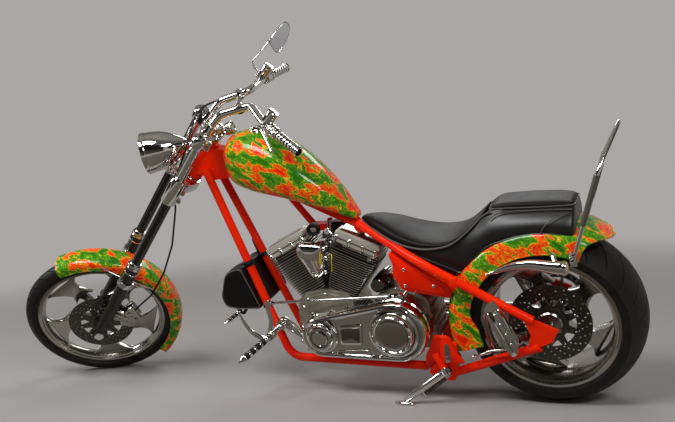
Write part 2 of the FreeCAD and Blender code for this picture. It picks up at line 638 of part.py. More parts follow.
def make_wheel(bead, lip, lip_half, hub_r, hub_half, web, bore):
    """Rim, blade spokes and hub in one casting."""
    b, h = bead, lip_half
    rim = turned([(lip, h - 6), (lip, h), (b - 14, h), (b - 26, h - 22), (b - 26, 22 - h),
                  (b - 14, -h), (lip, -h), (lip, 6 - h), (b, 6 - h), (b, h - 6)])
    hub = turned([(bore, -hub_half), (hub_r, -hub_half), (hub_r, hub_half), (bore, hub_half)])
    blade = slab([(hub_r - 6, -30), (0.62 * b, -10), (0.78 * b, -24), (b - 24, -6), (b - 24, 12),
                  (0.80 * b, 6), (0.64 * b, 14), (hub_r - 6, 16)], -web, web)
    spokes = []
    for i in range(SPOKES):
        s = blade.copy()
        s.rotate(V(0, 0, 0), V(0, 1, 0), 360.0 / SPOKES * i + 20)
        spokes.append(s)
    return fuse([rim, hub] + spokes)


def make_disc(y, hub_r):
    return turned([(hub_r, y - DISC_T / 2), (DISC_R, y - DISC_T / 2), (DISC_R, y + DISC_T / 2),
                   (hub_r, y + DISC_T / 2)])


def make_rear_pulley():
    y0, y1 = -BELT_OUT, -BELT_IN
    return turned([(REAR_AXLE_R + RUN, y0), (PULLEY_R - RUN, y0), (PULLEY_R - RUN, y1),
                   (REAR_AXLE_R + RUN, y1)])


# ---------------------------------------------------------------- side stand
STAND_PIVOT = V(372, 200, -150)
STAND_PIN = V(0.5, -0.2, 0.84).normalize()      # the pin leans ahead, close to the load's line
STAND_FOOT = V(547, 160, 0)                # on the floor, from under the rear wheel centre
STAND_SWING = 145.0            # out and back to the folded place
PIN_R, EYE_R, EYE_HALF, BOSS_R = 8.0, 20.0, 14.0, 15.0
LEG_TOP_R, LEG_FOOT_R, PAD_T = 15.0, 12.0, 12.0


def make_side_stand():
    to_frame = PLACE_FRAME.inverse()
    foot = to_frame.multVec(STAND_FOOT + V(0, 0, PAD_T / 2))
    way = (foot - STAND_PIVOT).normalize()
    leg = Part.makeCone(LEG_TOP_R, LEG_FOOT_R, (foot - STAND_PIVOT).Length - PAD_T, STAND_PIVOT, way)
    eye = rod(STAND_PIVOT - STAND_PIN * EYE_HALF, STAND_PIVOT + STAND_PIN * EYE_HALF, EYE_R)
    pad = block(-46, 32, -25, 25, 0, PAD_T)
    pad.Placement = to_frame.multiply(shift(STAND_FOOT))
    body = fuse([leg, eye, pad])
    return body.cut(rod(STAND_PIVOT - STAND_PIN * 40, STAND_PIVOT + STAND_PIN * 40, PIN_R + RUN))


def make_stand_bracket():
    pin = rod(STAND_PIVOT - STAND_PIN * (EYE_HALF + 4), STAND_PIVOT + STAND_PIN * 40, PIN_R)
    boss = rod(STAND_PIVOT + STAND_PIN * (EYE_HALF + RUN), STAND_PIVOT + STAND_PIN * 75, BOSS_R)
    root = STAND_PIVOT + STAND_PIN * 45
    lug = rod(V(root.x, PLATE_OUT - 4, root.z), root, BOSS_R)
    return fuse([pin, boss, lug])


# ---------------------------------------------------------------- the assembly
shapes = {}
backbone = make_backbone()
rear_stay = make_rear_stay()
axle_hole = rod(V(0, -STAY_Y - 40, 0), V(0, STAY_Y + AXLE_PLATE_T / 2 - AXLE_SKIN, 0), REAR_AXLE_R)
upper_rail = make_upper_rail().cut(backbone).cut(rear_stay)
downtube = make_downtube().cut(backbone)
lower_rail = make_lower_rail().cut(rear_stay)
for side, flip in (("left", lambda s: s), ("right", mirrored)):
    shapes["downtube_" + side] = flip(downtube)
    shapes["lower_rail_" + side] = flip(lower_rail)
    shapes["upper_rail_" + side] = flip(upper_rail)
    shapes["rear_stay_" + side] = flip(rear_stay).cut(axle_hole)
shapes["rear_stay_left"] = fuse([shapes["rear_stay_left"], make_stand_bracket()])
shapes["backbone"] = backbone
both_rails = [shapes["upper_rail_left"], shapes["upper_rail_right"]]

shapes["fuel_tank"] = make_fuel_tank().cut(backbone)
belt_room = band(V(0, 0, 0), PULLEY_R + BELT_T + CLEAR, CLUTCH, SPROCKET_R + BELT_T + CLEAR,
                 -BELT_OUT - CLEAR, -BELT_IN + CLEAR)
shapes["rear_fender"] = make_rear_fender().cut(belt_room)
fender_body = turned([(0, -200), (FENDER_TOP, -200), (FENDER_TOP, 200), (0, 200)])
shapes["seat_pan"] = make_seat_pan().cut(fender_body).cut(both_rails[0]).cut(both_rails[1])
shapes["seat_pad"] = make_seat_pad()
shapes["passenger_pad"] = make_passenger_pad()
shapes["oil_tank"] = make_oil_tank().cut(both_rails[0]).cut(both_rails[1])
shapes["fender_struts"] = make_fender_struts()
shapes["sissy_bar"] = make_sissy_bar()
shapes["crankcase"] = make_crankcase()
shapes["front_cylinder"] = make_cylinder(1).cut(shapes["crankcase"])
shapes["rear_cylinder"] = make_cylinder(-1).cut(shapes["crankcase"])
shapes["horn_cover"] = make_horn_cover()
shapes["air_cleaner"] = make_air_cleaner()
shapes["primary_cover"] = make_primary_cover()
shapes["transmission"] = make_transmission()
shapes["drive_belt"] = make_drive_belt()
pipes = make_exhaust()
for side, pipe in zip(("front", "rear"), pipes):
    shapes["exhaust_" + side] = pipe.cut(shapes[side + "_cylinder"])
control = make_foot_control().cut(downtube).cut(lower_rail)
shapes["foot_control_left"] = control
shapes["foot_control_right"] = mirrored(control)
stays = fuse([shapes["rear_stay_left"], shapes["rear_stay_right"]])
shapes["passenger_pegs"] = make_passenger_pegs().cut(stays)
shapes["tool_bag"] = make_tool_bag()
shapes["rear_caliper"] = make_rear_caliper()
shapes["rear_axle"] = make_rear_axle()

leg = make_fork_leg()
shapes["fork_leg_left"] = leg
shapes["fork_leg_right"] = mirrored(leg)
shapes["lower_clamp"] = make_lower_clamp()
shapes["top_clamp"] = make_top_clamp()
shapes["headlight"] = make_headlight()
shapes["handlebar"] = make_handlebar().cut(shapes["top_clamp"])
shapes["left_control"] = make_grip().cut(shapes["handlebar"])
shapes["right_control"] = mirrored(shapes["left_control"])
shapes["mirror"] = make_mirror().cut(shapes["right_control"])
shapes["front_fender"] = make_front_fender().cut(leg).cut(shapes["fork_leg_right"])
shapes["front_caliper"] = make_front_caliper().cut(leg)
shapes["front_axle"] = make_front_axle()
shapes["brake_hose"] = make_brake_hose().cut(shapes["right_control"]).cut(shapes["front_caliper"])

front = {"front_tyre": make_tyre(FRONT_R, FRONT_HALF, FRONT_CROWN, FRONT_BEAD, FRONT_LIP_HALF),
         "front_wheel": make_wheel(FRONT_BEAD, FRONT_LIP, FRONT_LIP_HALF, 34, 50, 9,
                                   FRONT_AXLE_R + RUN),
         "front_disc": make_disc(FRONT_DISC_Y, 34)}
rear = {"rear_tyre": make_tyre(REAR_R, REAR_HALF, REAR_CROWN, REAR_BEAD, REAR_LIP_HALF),
        "rear_wheel": make_wheel(REAR_BEAD, REAR_LIP, REAR_LIP_HALF, 46, REAR_DISC_Y + 20, 22,
                                 REAR_AXLE_R + RUN),
        "rear_disc": make_disc(REAR_DISC_Y, 46), "rear_pulley": make_rear_pulley()}
front["front_tyre"] = front["front_tyre"].cut(front["front_wheel"])
rear["rear_tyre"] = rear["rear_tyre"].cut(rear["rear_wheel"])
for name, shape in front.items():
    shape.translate(AXLE)
    shapes[name] = shape
shapes.update(rear)
shapes["side_stand"] = make_side_stand()

BODIES = {
    "steering": ["fork_leg_left", "fork_leg_right", "lower_clamp", "top_clamp", "headlight",
                 "handlebar", "left_control", "right_control", "mirror", "front_fender",
                 "front_caliper", "front_axle", "brake_hose"],
    "front_wheel": list(front),
    "rear_wheel": list(rear),
    "side_stand": ["side_stand"],
}
moving = [name for names in BODIES.values() for name in names]
BODIES["frame"] = [name for name in shapes if name not in moving]
FORK_BODIES = ("steering", "front_wheel")


def placement(body):
    return PLACE_FORK if body in FORK_BODIES else PLACE_FRAME


for body, names in BODIES.items():
    for name in names:
        placed = shapes[name].copy()
        placed.Placement = placement(body).multiply(placed.Placement)
        shapes[name] = placed

corners = [p for shape in shapes.values() for p in shape.tessellate(BOX_MESH)[0]]
spans = [(min(axis), max(axis)) for axis in zip(*[(p.x, p.y) for p in corners])]
ORIGIN = V(sum(spans[0]) / 2, sum(spans[1]) / 2, 0)


def in_row(body, point):
    """A point given in the frame that a body was drawn in, in the finished part's frame."""
    return placement(body).multVec(point) - ORIGIN


def way_in_row(body, direction):
    return placement(body).Rotation.multVec(direction)


os.makedirs("parts", exist_ok=True)
for name, shape in shapes.items():
    shape.translate(-ORIGIN)
    shape.exportStep("parts/" + name + ".step")
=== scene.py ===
"""Long-fork custom chopper on its side stand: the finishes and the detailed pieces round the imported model.

Pieces are drawn in millimetres in one of the part's own frames and put in place by one matrix:
  frame          origin at the rear hub, X forward, Y left, Z up the leaning machine; the rear wheel and
                 the side stand are drawn in it too
  steering       origin on the steering axis level with the front hub, X ahead, Y left, Z up the axis
  front_wheel    the same, from the front hub
"""
import bpy, bmesh, json
from math import acos, atan2, cos, hypot, pi, radians, sin, sqrt
from mathutils import Matrix, Vector


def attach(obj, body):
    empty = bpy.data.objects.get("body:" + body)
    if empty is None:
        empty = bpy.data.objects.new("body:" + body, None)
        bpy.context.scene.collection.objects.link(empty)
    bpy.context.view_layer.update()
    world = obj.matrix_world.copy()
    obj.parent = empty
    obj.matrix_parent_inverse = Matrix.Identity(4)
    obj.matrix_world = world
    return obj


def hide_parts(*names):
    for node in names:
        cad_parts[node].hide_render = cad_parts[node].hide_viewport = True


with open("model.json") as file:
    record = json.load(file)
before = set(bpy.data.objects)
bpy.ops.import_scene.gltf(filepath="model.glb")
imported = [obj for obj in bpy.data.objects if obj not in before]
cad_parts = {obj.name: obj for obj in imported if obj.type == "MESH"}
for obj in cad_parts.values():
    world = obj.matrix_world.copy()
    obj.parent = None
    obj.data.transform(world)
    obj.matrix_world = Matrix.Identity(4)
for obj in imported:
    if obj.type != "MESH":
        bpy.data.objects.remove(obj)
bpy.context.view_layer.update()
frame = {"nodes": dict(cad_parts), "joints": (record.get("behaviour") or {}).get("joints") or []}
nodes = frame["nodes"]
joints = {j["name"]: j for j in frame["joints"]}
V = Vector
AHEAD, BEHIND, LEFT, RIGHT, UP = (1, 0, 0), (-1, 0, 0), (0, 1, 0), (0, -1, 0), (0, 0, 1)

# the front hub ahead of the steering axis, and a fork leg from the middle
FORK_OFFSET, LEG_Y = 70.0, 115.0

# the camera stands over a point on the floor this far from the rear hub; turns in radians
EYE, YAW, PITCH, ROLL = (-0.4717, 2.9036, 0.9591), 0.4255, 0.0685, -0.0769
LENS_MM, SENSOR_MM, LENS_SHIFT = 41.93, 36.0, (0.0038, -0.0037)
# columns: name, place, target, width, depth, watts
PANELS = [("key_panel", (0.7, 2.4, 3.6), (0.2, 0, 0.5), 2.6, 0.9, 128),
          ("rear_panel", (-2.9, 2.4, 2.8), (-0.8, 0, 0.4), 1.6, 0.7, 56),
          ("front_panel", (3.6, 1.4, 2.7), (1.0, 0, 0.6), 1.6, 0.7, 56),
          ("far_panel", (0.0, -3.0, 3.4), (0, 0, 0.5), 3.0, 0.8, 58)]
FLOOR_GREY, WALL_GREY, AMBIENT = "#989593", "#ABA7A6", 0.36
FADE_FROM, FADE_TO = 2.1, 5.2           # metres over which the floor fades into the wall


# ---------------------------------------------------------------- the frames that pieces are drawn in
def axes(ahead, left, up, origin):
    """Millimetres in a drawing frame to metres in the row."""
    turn = Matrix((ahead, left, up)).transposed().to_4x4()
    return Matrix.Translation(origin) @ turn @ Matrix.Scale(0.001, 4)


rear_hub, front_hub = (V(joints[n]["pos_m"]) for n in ("rear_wheel_spin", "front_wheel_spin"))
rear_way, front_way, steer_way = (V(joints[n]["axis"]).normalized()
                                  for n in ("rear_wheel_spin", "front_wheel_spin", "steering_head"))
forward, fork_ahead = V(AHEAD), front_way.cross(steer_way)
AT = {"frame": axes(forward, rear_way, forward.cross(rear_way), rear_hub),
      "steering": axes(fork_ahead, front_way, steer_way, front_hub - fork_ahead * FORK_OFFSET * 0.001),
      "front_wheel": axes(fork_ahead, front_way, steer_way, front_hub)}
AT["rear_wheel"] = AT["side_stand"] = AT["frame"]


def set_out(name, data):
    """A new object in the scene that holds some data."""
    item = bpy.data.objects.new(name, data)
    bpy.context.scene.collection.objects.link(item)
    return item


def studio():
    """Camera and lamps of a pale grey photo studio: soft panels high round the machine."""
    scene = bpy.context.scene
    scene.view_settings.view_transform = "Standard"
    eye = V((rear_hub.x + EYE[0], rear_hub.y + EYE[1], EYE[2]))
    look = V((sin(YAW) * cos(PITCH), -cos(YAW) * cos(PITCH), -sin(PITCH)))
    right = V((-cos(YAW), -sin(YAW), 0))
    up = right.cross(look)
    side, up = cos(ROLL) * right + sin(ROLL) * up, -sin(ROLL) * right + cos(ROLL) * up
    data = bpy.data.cameras.new("view")
    data.sensor_width, data.lens = SENSOR_MM, LENS_MM
    data.shift_x, data.shift_y = LENS_SHIFT
    data.clip_start, data.clip_end = 0.05, 60
    scene.camera = set_out("view", data)
    scene.camera.matrix_world = Matrix.Translation(eye) @ Matrix((side, up, -look)).transposed().to_4x4()
    for name, at, target, wide, deep, power in PANELS:
        lamp = bpy.data.lights.new(name, "AREA")
        lamp.shape, lamp.size, lamp.size_y, lamp.energy = "RECTANGLE", wide, deep, power
        holder = set_out(name, lamp)
        holder.location = at
        holder.rotation_euler = (V(target) - V(at)).to_track_quat("-Z", "Y").to_euler()


# ---------------------------------------------------------------- nodes
def to_linear(code):
    """An sRGB hex colour as linear RGBA."""
    parts = [int(code[i:i + 2], 16) / 255 for i in (1, 3, 5)]
    return [c / 12.92 if c <= 0.04045 else ((c + 0.055) / 1.055) ** 2.4 for c in parts] + [1.0]


def add(tree, kind, links=(), stops=(), **settings):
    """A node with its settings.

    links pairs an input's name or number with a value, a socket, a node for its first output, or a list of
    nodes; stops are a colour ramp's places, each with a hex colour or a level."""
    prefix = {"SHADER": "ShaderNode", "GEOMETRY": "GeometryNode"}[tree.type]
    node = tree.nodes.new(kind if "Node" in kind else prefix + kind)
    for key, value in settings.items():
        setattr(node, key, value)
    while stops and len(node.color_ramp.elements) < len(stops):
        node.color_ramp.elements.new(0.5)
    for element, (position, value) in zip(node.color_ramp.elements if stops else (), stops):
        element.position = position
        element.color = to_linear(value) if isinstance(value, str) else (value, value, value, 1)
    for key, given in dict(links).items():
        for value in given if isinstance(given, list) else [given]:
            value = value.outputs[0] if isinstance(value, bpy.types.Node) else value
            if isinstance(value, bpy.types.NodeSocket):
                tree.links.new(value, node.inputs[key])
            else:
                node.inputs[key].default_value = value
    return node


def finish(name, fixed, pattern=None, **layers):
    """A Principled material. fixed holds the sockets that are the same all over the surface.

    Each layer is blotches of one real size: (size in mm, detail, raggedness, low, high). tone gives a colour
    stop for low and high, sheen two roughnesses, and relief a depth in mm and how strong it is."""
    material = bpy.data.materials.new(name)
    material.use_nodes = True
    tree = material.node_tree
    shader = tree.nodes["Principled BSDF"]
    for key, value in fixed.items():
        shader.inputs[key].default_value = to_linear(value) if isinstance(value, str) else value
    where = add(tree, "TexCoord").outputs["Object"] if layers or pattern else None
    for layer, (size_mm, detail, ragged, low, high) in layers.items():
        noise = add(tree, "TexNoise", {"Vector": where, "Scale": 1000.0 / size_mm, "Detail": detail,
                                       "Roughness": ragged})
        if layer == "tone":
            socket, shown = "Base Color", add(tree, "ValToRGB", {0: noise}, stops=(low, high))
        elif layer == "sheen":
            socket, shown = "Roughness", add(tree, "MapRange",
                                             {"Value": noise, "From Min": 0.3, "From Max": 0.7,
                                              "To Min": low, "To Max": high})
        else:
            socket, shown = "Normal", add(tree, "Bump", {"Height": noise, "Distance": low / 1000.0,
                                                         "Strength": high})
        tree.links.new(shown.outputs[0], shader.inputs[socket])
    if pattern:
        pattern(tree, shader, where)
    return material


MOTTLE_MM, PEBBLE_MM, THREAD_MM = 7.0, 3.2, 4.0     # grain of the sprayed paint, the hide and the nylon cloth


def flames(tree, shader, where):
    """Ragged green tongues with thin yellow edges, and orange contour lines round them."""
    where = add(tree, "Mapping", {"Vector": where, "Rotation": (0, -0.6, 0), "Scale": (1.75, 0.9, 0.8)},
                vector_type="TEXTURE")
    drift = add(tree, "TexNoise", {"Vector": where, "Scale": 34.0, "Detail": 3.0, "Roughness": 0.6})
    centred = add(tree, "VectorMath", {0: drift.outputs["Color"], 1: (0.5, 0.5, 0.5)}, operation="SUBTRACT")
    pushed = add(tree, "VectorMath", {0: centred, "Scale": 0.055}, operation="SCALE")
    warped = add(tree, "VectorMath", {0: where, 1: pushed}, operation="ADD")
    field = add(tree, "TexNoise", {"Vector": warped, "Scale": 25.0, "Detail": 1.0, "Roughness": 0.4})
    patches = add(tree, "ValToRGB", {0: field}, stops=(
        (0.0, "#F22A00"), (0.33, "#EE2600"), (0.345, "#FC9412"), (0.36, "#F23402"), (0.41, "#F23802"),
        (0.424, "#FDA81A"), (0.438, "#F34404"), (0.474, "#F44A04"), (0.488, "#FCB41C"), (0.5, "#D6CC28"),
        (0.512, "#5A9C0E"), (0.56, "#2E7A06"), (0.585, "#3F8C0A"), (0.597, "#A9C224"), (0.609, "#3C840A"),
        (0.70, "#2C6E06")))
    grain = add(tree, "TexNoise", {"Vector": where, "Scale": 1000.0 / MOTTLE_MM, "Detail": 4,
                                   "Roughness": 0.7})
    mottle = add(tree, "ValToRGB", {0: grain}, stops=((0.36, 0.66), (0.56, 1.0)))
    mixed = add(tree, "Mix", {0: 0.8, 6: patches, 7: mottle}, data_type="RGBA", blend_type="MULTIPLY")
    tree.links.new(mixed.outputs[2], shader.inputs["Base Color"])


def hide_grain(tree, shader, where):
    """Rounded pebbles with creases between them."""
    cells = add(tree, "TexVoronoi", {"Vector": where, "Scale": 1000.0 / PEBBLE_MM},
                feature="DISTANCE_TO_EDGE")
    pebbles = add(tree, "ValToRGB", {0: cells}, stops=((0.0, 0.0), (0.12, 1.0)))
    crease = add(tree, "Bump", {"Height": pebbles, "Strength": 0.4, "Distance": 0.00025})
    tree.links.new(crease.outputs[0], shader.inputs["Normal"])


def plain_weave(tree, shader, where):
    """Threads over and under, drawn coarser than real ones so that they show."""
    threads = [add(tree, "TexWave", {"Vector": where, "Scale": 1000.0 / THREAD_MM / 6.28, "Distortion": 0.4},
                   bands_direction=way).outputs[1] for way in "XZ"]
    weave = add(tree, "Math", {0: threads[0], 1: threads[1]}, operation="MULTIPLY")
    cloth = add(tree, "Bump", {"Height": weave, "Strength": 0.5, "Distance": 0.0004})
    tree.links.new(cloth.outputs[0], shader.inputs["Normal"])


PLATED = {"sheen": (45, 4, 0.6, 0.03, 0.10)}
BUFFED = {"sheen": (8, 3, 0.5, 0.12, 0.26)}
GROUND = {"sheen": (14, 3, 0.5, 0.3, 0.46)}
PEBBLED = {"relief": (1.6, 2, 0.5, 0.2, 0.7)}
RIPPLED = {"relief": (14, 1, 0.5, 0.06, 0.4)}
FINISH = {
    # car lacquer in two coats: a slight orange peel, and dust that dulls it in cloudy patches
    "lacquer": finish("orange_red_lacquer",
                      {"Specular IOR Level": 0.05, "Coat Weight": 0.16, "Coat Roughness": 0.05},
                      sheen=(60, 3, 0.5, 0.2, 0.34), tone=(140, 2, 0.5, (0.3, "#DE1A00"), (0.7, "#EE2A04")),
                      relief=(5, 2, 0.5, 0.05, 0.4)),
    # sprayed camouflage under clear coat: bright and deep, with a soft gloss
    "camouflage": finish("camouflage_lacquer", {"Specular IOR Level": 0.08, "Roughness": 0.4,
                                                "Coat Weight": 0.5, "Coat Roughness": 0.03}, flames),
    # plating over copper, polished: mirror bright with faint wipe marks; the dark kinds are tinted
    "chrome": finish("show_chrome", {"Base Color": "#D9D7D2", "Metallic": 1.0}, **PLATED),
    "dark_chrome": finish("black_chrome", {"Base Color": "#77736C", "Metallic": 1.0}, **PLATED),
    "smoked": finish("smoked_chrome", {"Base Color": "#4A4844", "Metallic": 1.0}, **PLATED),
    # turned or milled aluminium, buffed: tool marks blur its reflections in patches
    "polished": finish("polished_aluminium", {"Base Color": "#A7A299", "Metallic": 1.0}, **BUFFED),
    "slider": finish("anodised_fork_alloy", {"Base Color": "#34322C", "Metallic": 0.6}, **BUFFED),
    # sand-cast aluminium under clear lacquer: warm grey and finely pitted
    "cast": finish("cast_aluminium", {"Metallic": 0.8, "Roughness": 0.4},
                   tone=(50, 3, 0.5, (0.3, "#857E6F"), (0.7, "#A8A293")), relief=(2.5, 4, 0.5, 0.25, 0.6)),
    # steel ground on a wheel, and enamel rubbed down: a satin sheen that varies in patches
    "disc": finish("blued_brake_steel", {"Base Color": "#4E4A43", "Metallic": 1.0}, **GROUND),
    "fin_edges": finish("ground_fin_edges", {"Base Color": "#B9B5AB", "Metallic": 1.0}, **GROUND),
    "rocker": finish("silver_enamel", {"Base Color": "#B6B2A8", "Metallic": 0.3}, **GROUND),
    # baked enamel and moulded plastics: dull, with a fine pebbled skin
    "wrinkle": finish("black_wrinkle_enamel", {"Base Color": "#080808", "Roughness": 0.42,
                                               "Specular IOR Level": 0.25}, **PEBBLED),
    "base_vinyl": finish("moulded_black_vinyl", {"Base Color": "#100F0E", "Roughness": 0.36}, **PEBBLED),
    # the piping's light grey is partly a painted highlight: it stands in for the shine along the seat's
    # rolled lips and seams
    "piping_and_painted_highlight": finish("vinyl_piping_and_painted_highlight", {"Base Color": "#4A4540", "Roughness": 0.4}, **PEBBLED),
    "rubber": finish("moulded_rubber", {"Base Color": "#0B0B0B", "Roughness": 0.55,
                                        "Specular IOR Level": 0.25}, **PEBBLED),
    "yellow": finish("yellow_nylon", {"Base Color": "#D8BC18", "Roughness": 0.45}, **PEBBLED),
    "dial": finish("printed_dial", {"Base Color": "#E4E2DC", "Roughness": 0.4}, **PEBBLED),
    # dyed upholstery leather: pebbled, with a dull sheen where it is worn
    "leather": finish("black_leather", {"Specular IOR Level": 0.14}, hide_grain,
                      sheen=(90, 4, 0.6, 0.38, 0.5), tone=(90, 4, 0.6, (0.3, "#090705"), (0.75, "#110D0A"))),
    # road tyre rubber: dark grey, dustier in patches, with a very fine moulded grain
    "tyre": finish("tyre_rubber", {"Specular IOR Level": 0.25}, sheen=(70, 5, 0.65, 0.42, 0.62),
                   tone=(70, 5, 0.65, (0.3, "#0B0A09"), (0.75, "#1A1815")), relief=(1.5, 2, 0.5, 0.15, 0.5)),
    # nylon in a plain weave, coated: black and dull
    "bag": finish("coated_nylon_cloth", {"Base Color": "#060606", "Roughness": 0.42,
                                         "Specular IOR Level": 0.25}, plain_weave),
    # blown glass and moulded acrylic: clear or frosted, with a faint ripple
    "glass": finish("lamp_glass", {"Base Color": "#F2F4F5", "Roughness": 0.04, "Transmission Weight": 0.92,
                                   "IOR": 1.45}, **RIPPLED),
    "amber": finish("frosted_lamp_acrylic", {"Base Color": "#CDB890", "Roughness": 0.3,
                                             "Transmission Weight": 0.2}, **RIPPLED),
    # glass silvered at its back: a clean mirror
    "mirror": finish("silvered_glass", {"Base Color": "#E9ECEE", "Metallic": 1.0, "Roughness": 0.02}),
}


# ---------------------------------------------------------------- making shapes, in millimetres
class Form:
    """Points and faces that become one piece; each face has the number of its finish."""

    def __init__(self):
        self.points, self.faces, self.marks = [], [], []

    def rings(self, rings, mark=0, loop=False):
        """Faces between successive closed rings of equal count, closed at the ends or on themselves."""
        first, n, count = len(self.points), len(rings[0]), len(rings)
        for ring in rings:
            self.points.extend(V(p) for p in ring)
        for i in range(count if loop else count - 1):
            a, b = first + i * n, first + (i + 1) % count * n
            for k in range(n):
                m = (k + 1) % n
                self.faces.append((a + k, a + m, b + m, b + k))
        if not loop:
            self.faces.append(tuple(reversed(range(first, first + n))))
            self.faces.append(tuple(range(first + (count - 1) * n, first + count * n)))
        self.marks += [mark] * (len(self.faces) - len(self.marks))
        return self

    def moved(self, matrix):
        self.points = [matrix @ p for p in self.points]
        return self

    def __add__(self, other):
        both = Form()
        both.points = self.points + other.points
        both.faces = self.faces + [tuple(i + len(self.points) for i in f) for f in other.faces]
        both.marks = self.marks + other.marks
        return both


def joined(forms):
    return sum(forms[1:], forms[0])


def across(way):
    """Two directions square to a direction and to each other."""
    way = way.normalized()
    side = way.cross(V(UP) if abs(way.z) < 0.9 else V(AHEAD)).normalized()
    return side, way.cross(side)


def turned(profile, centre=(0, 0, 0), way=LEFT, steps=48, mark=0, loop=False):
    """Turn a line of (radius, along) round a direction."""
    centre, way = V(centre), V(way).normalized()
    u, w = across(way)
    ways = [u * cos(2 * pi * k / steps) + w * sin(2 * pi * k / steps) for k in range(steps)]
    return Form().rings([[centre + way * h + d * r for d in ways] for r, h in profile], mark, loop)


def ring_of(profile, centre=(0, 0, 0), way=LEFT, steps=48, mark=0):
    """The same, from a closed profile: a hoop with a hole through it."""
    return turned(profile, centre, way, steps, mark, True)


def rod(a, b, radius, mark=0, steps=20):
    return turned([(radius, 0), (radius, (V(b) - V(a)).length)], a, V(b) - V(a), steps, mark)


def hexagon(centre, way, radius, height):
    """A six-sided bolt head with a chamfered top."""
    return turned([(radius, 0), (radius, height * 0.8), (radius * 0.8, height)], centre, way, 6)


def bent(points, radii, step=9.0):
    """Straight runs with rounded corners; radii holds one radius for each inner point."""
    points, out = [V(p) for p in points], [V(points[0])]
    for i in range(1, len(points) - 1):
        p, a, b = points[i], points[i - 1], points[i + 1]
        u, w = (a - p).normalized(), (b - p).normalized()
        half = u.angle(w) / 2
        radius = radii[i - 1]
        reach = min(radius / max(1e-6, sin(half)) * cos(half), 0.49 * min((a - p).length, (b - p).length))
        count = max(3, int(pi * radius * (1 - 2 * half / pi) / step))
        for k in range(count + 1):
            t = k / count
            out.append(p + u * reach * (1 - t) ** 2 + w * reach * t ** 2)
    return out + [points[-1]]


def flowing(points, steps=8):
    """A smooth line through points, or smooth rows of numbers between given rows."""
    points = [V(p) for p in points]
    ends = [points[0] * 2 - points[1]] + points + [points[-1] * 2 - points[-2]]
    out = []
    for a, b, c, d in zip(ends, ends[1:], ends[2:], ends[3:]):
        for k in range(steps):
            t = k / steps
            out.append(0.5 * (2 * b + (c - a) * t + (2 * a - 5 * b + 4 * c - d) * t ** 2
                              + (3 * b - a - 3 * c + d) * t ** 3))
    return out + [points[-1]]


def bar(line, radius, sides=14, mark=0, flat=1.0, loop=False, up=None):
    """A round bar along a line; radius may be a list, and flat squeezes it across."""
    line = [V(p) for p in line]
    count = len(line)
    radii = radius if isinstance(radius, (list, tuple)) else [radius] * count
    rings, side = [], None
    for i, p in enumerate(line):
        after = line[(i + 1) % count] if loop else line[min(i + 1, count - 1)]
        before = line[i - 1] if loop else line[max(i - 1, 0)]
        way = (after - before).normalized()
        if up is not None:
            side = way.cross(V(up)).normalized()
        elif side is None:
            side = across(way)[0]
        else:
            side = (side - way * side.dot(way)).normalized()
        other = way.cross(side)
        rings.append([p + side * cos(2 * pi * k / sides) * radii[i]
                      + other * sin(2 * pi * k / sides) * radii[i] * flat for k in range(sides)])
    return Form().rings(rings, mark, loop)


def rounded(outline, radius, steps=4):
    """A flat outline with its corners rounded."""
    out, count = [], len(outline)
    for i, p in enumerate(outline):
        p, a, b = V(p), V(outline[i - 1]), V(outline[(i + 1) % count])
        reach = min(radius, 0.45 * (a - p).length, 0.45 * (b - p).length)
        u, w = (a - p).normalized() * reach, (b - p).normalized() * reach
        out += [p + u * (1 - k / steps) ** 2 + w * (k / steps) ** 2 for k in range(steps + 1)]
    return out


def plate(outline, y0, y1, radius=0.0, edge=0.0, mark=0, steps=4):
    """A flat plate in X and Z with rounded corners and a rounded edge all round its outer faces."""
    flat = rounded(outline, radius, steps) if radius else [V(p) for p in outline]
    middle = sum(flat, V((0, 0))) / len(flat)
    rows = [(y0, edge), (y0 + 0.3 * edge, 0.3 * edge), (y0 + edge, 0), (y1 - edge, 0),
            (y1 - 0.3 * edge, 0.3 * edge), (y1, edge)] if edge else [(y0, 0), (y1, 0)]
    return Form().rings([[V((p.x, y, p.y)) - V((p.x - middle.x, 0, p.y - middle.y)).normalized() * inset
                          for p in flat] for y, inset in rows], mark)


def brick(x0, x1, y0, y1, z0, z1, edge=3.0, mark=0):
    return plate([(x0, z0), (x1, z0), (x1, z1), (x0, z1)], y0, y1, edge * 1.6, edge, mark)


def mirrored(form):
    flipped = Form()
    flipped.points = [V((p.x, -p.y, p.z)) for p in form.points]
    flipped.faces = [tuple(reversed(f)) for f in form.faces]
    flipped.marks = list(form.marks)
    return flipped


def facing(origin, way, along=None):
    """A matrix that stands a shape's +Z on a direction, with its X near another."""
    z = V(way).normalized()
    x = V(along) if along else across(z)[0]
    x = (x - z * x.dot(z)).normalized()
    return Matrix.Translation(V(origin)) @ Matrix((x, z.cross(x), z)).transposed().to_4x4()


def dress(mesh, name, body, keys, stands_for="", smooth=38.0):
    """Give a placed mesh its finishes and its body, as a finished piece."""
    mesh.name = name
    marks = [face.material_index for face in mesh.polygons]
    mesh.materials.clear()
    for key in keys.split():
        mesh.materials.append(FINISH[key])
    last = len(mesh.materials) - 1
    mesh.polygons.foreach_set("material_index", [min(mark, last) for mark in marks])
    mesh.shade_smooth()
    mesh.set_sharp_from_angle(angle=radians(smooth))
    piece = set_out(name, mesh)
    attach(piece, body)
    if stands_for:
        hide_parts(*stands_for.split())
    return piece


WELD_MM = 0.02


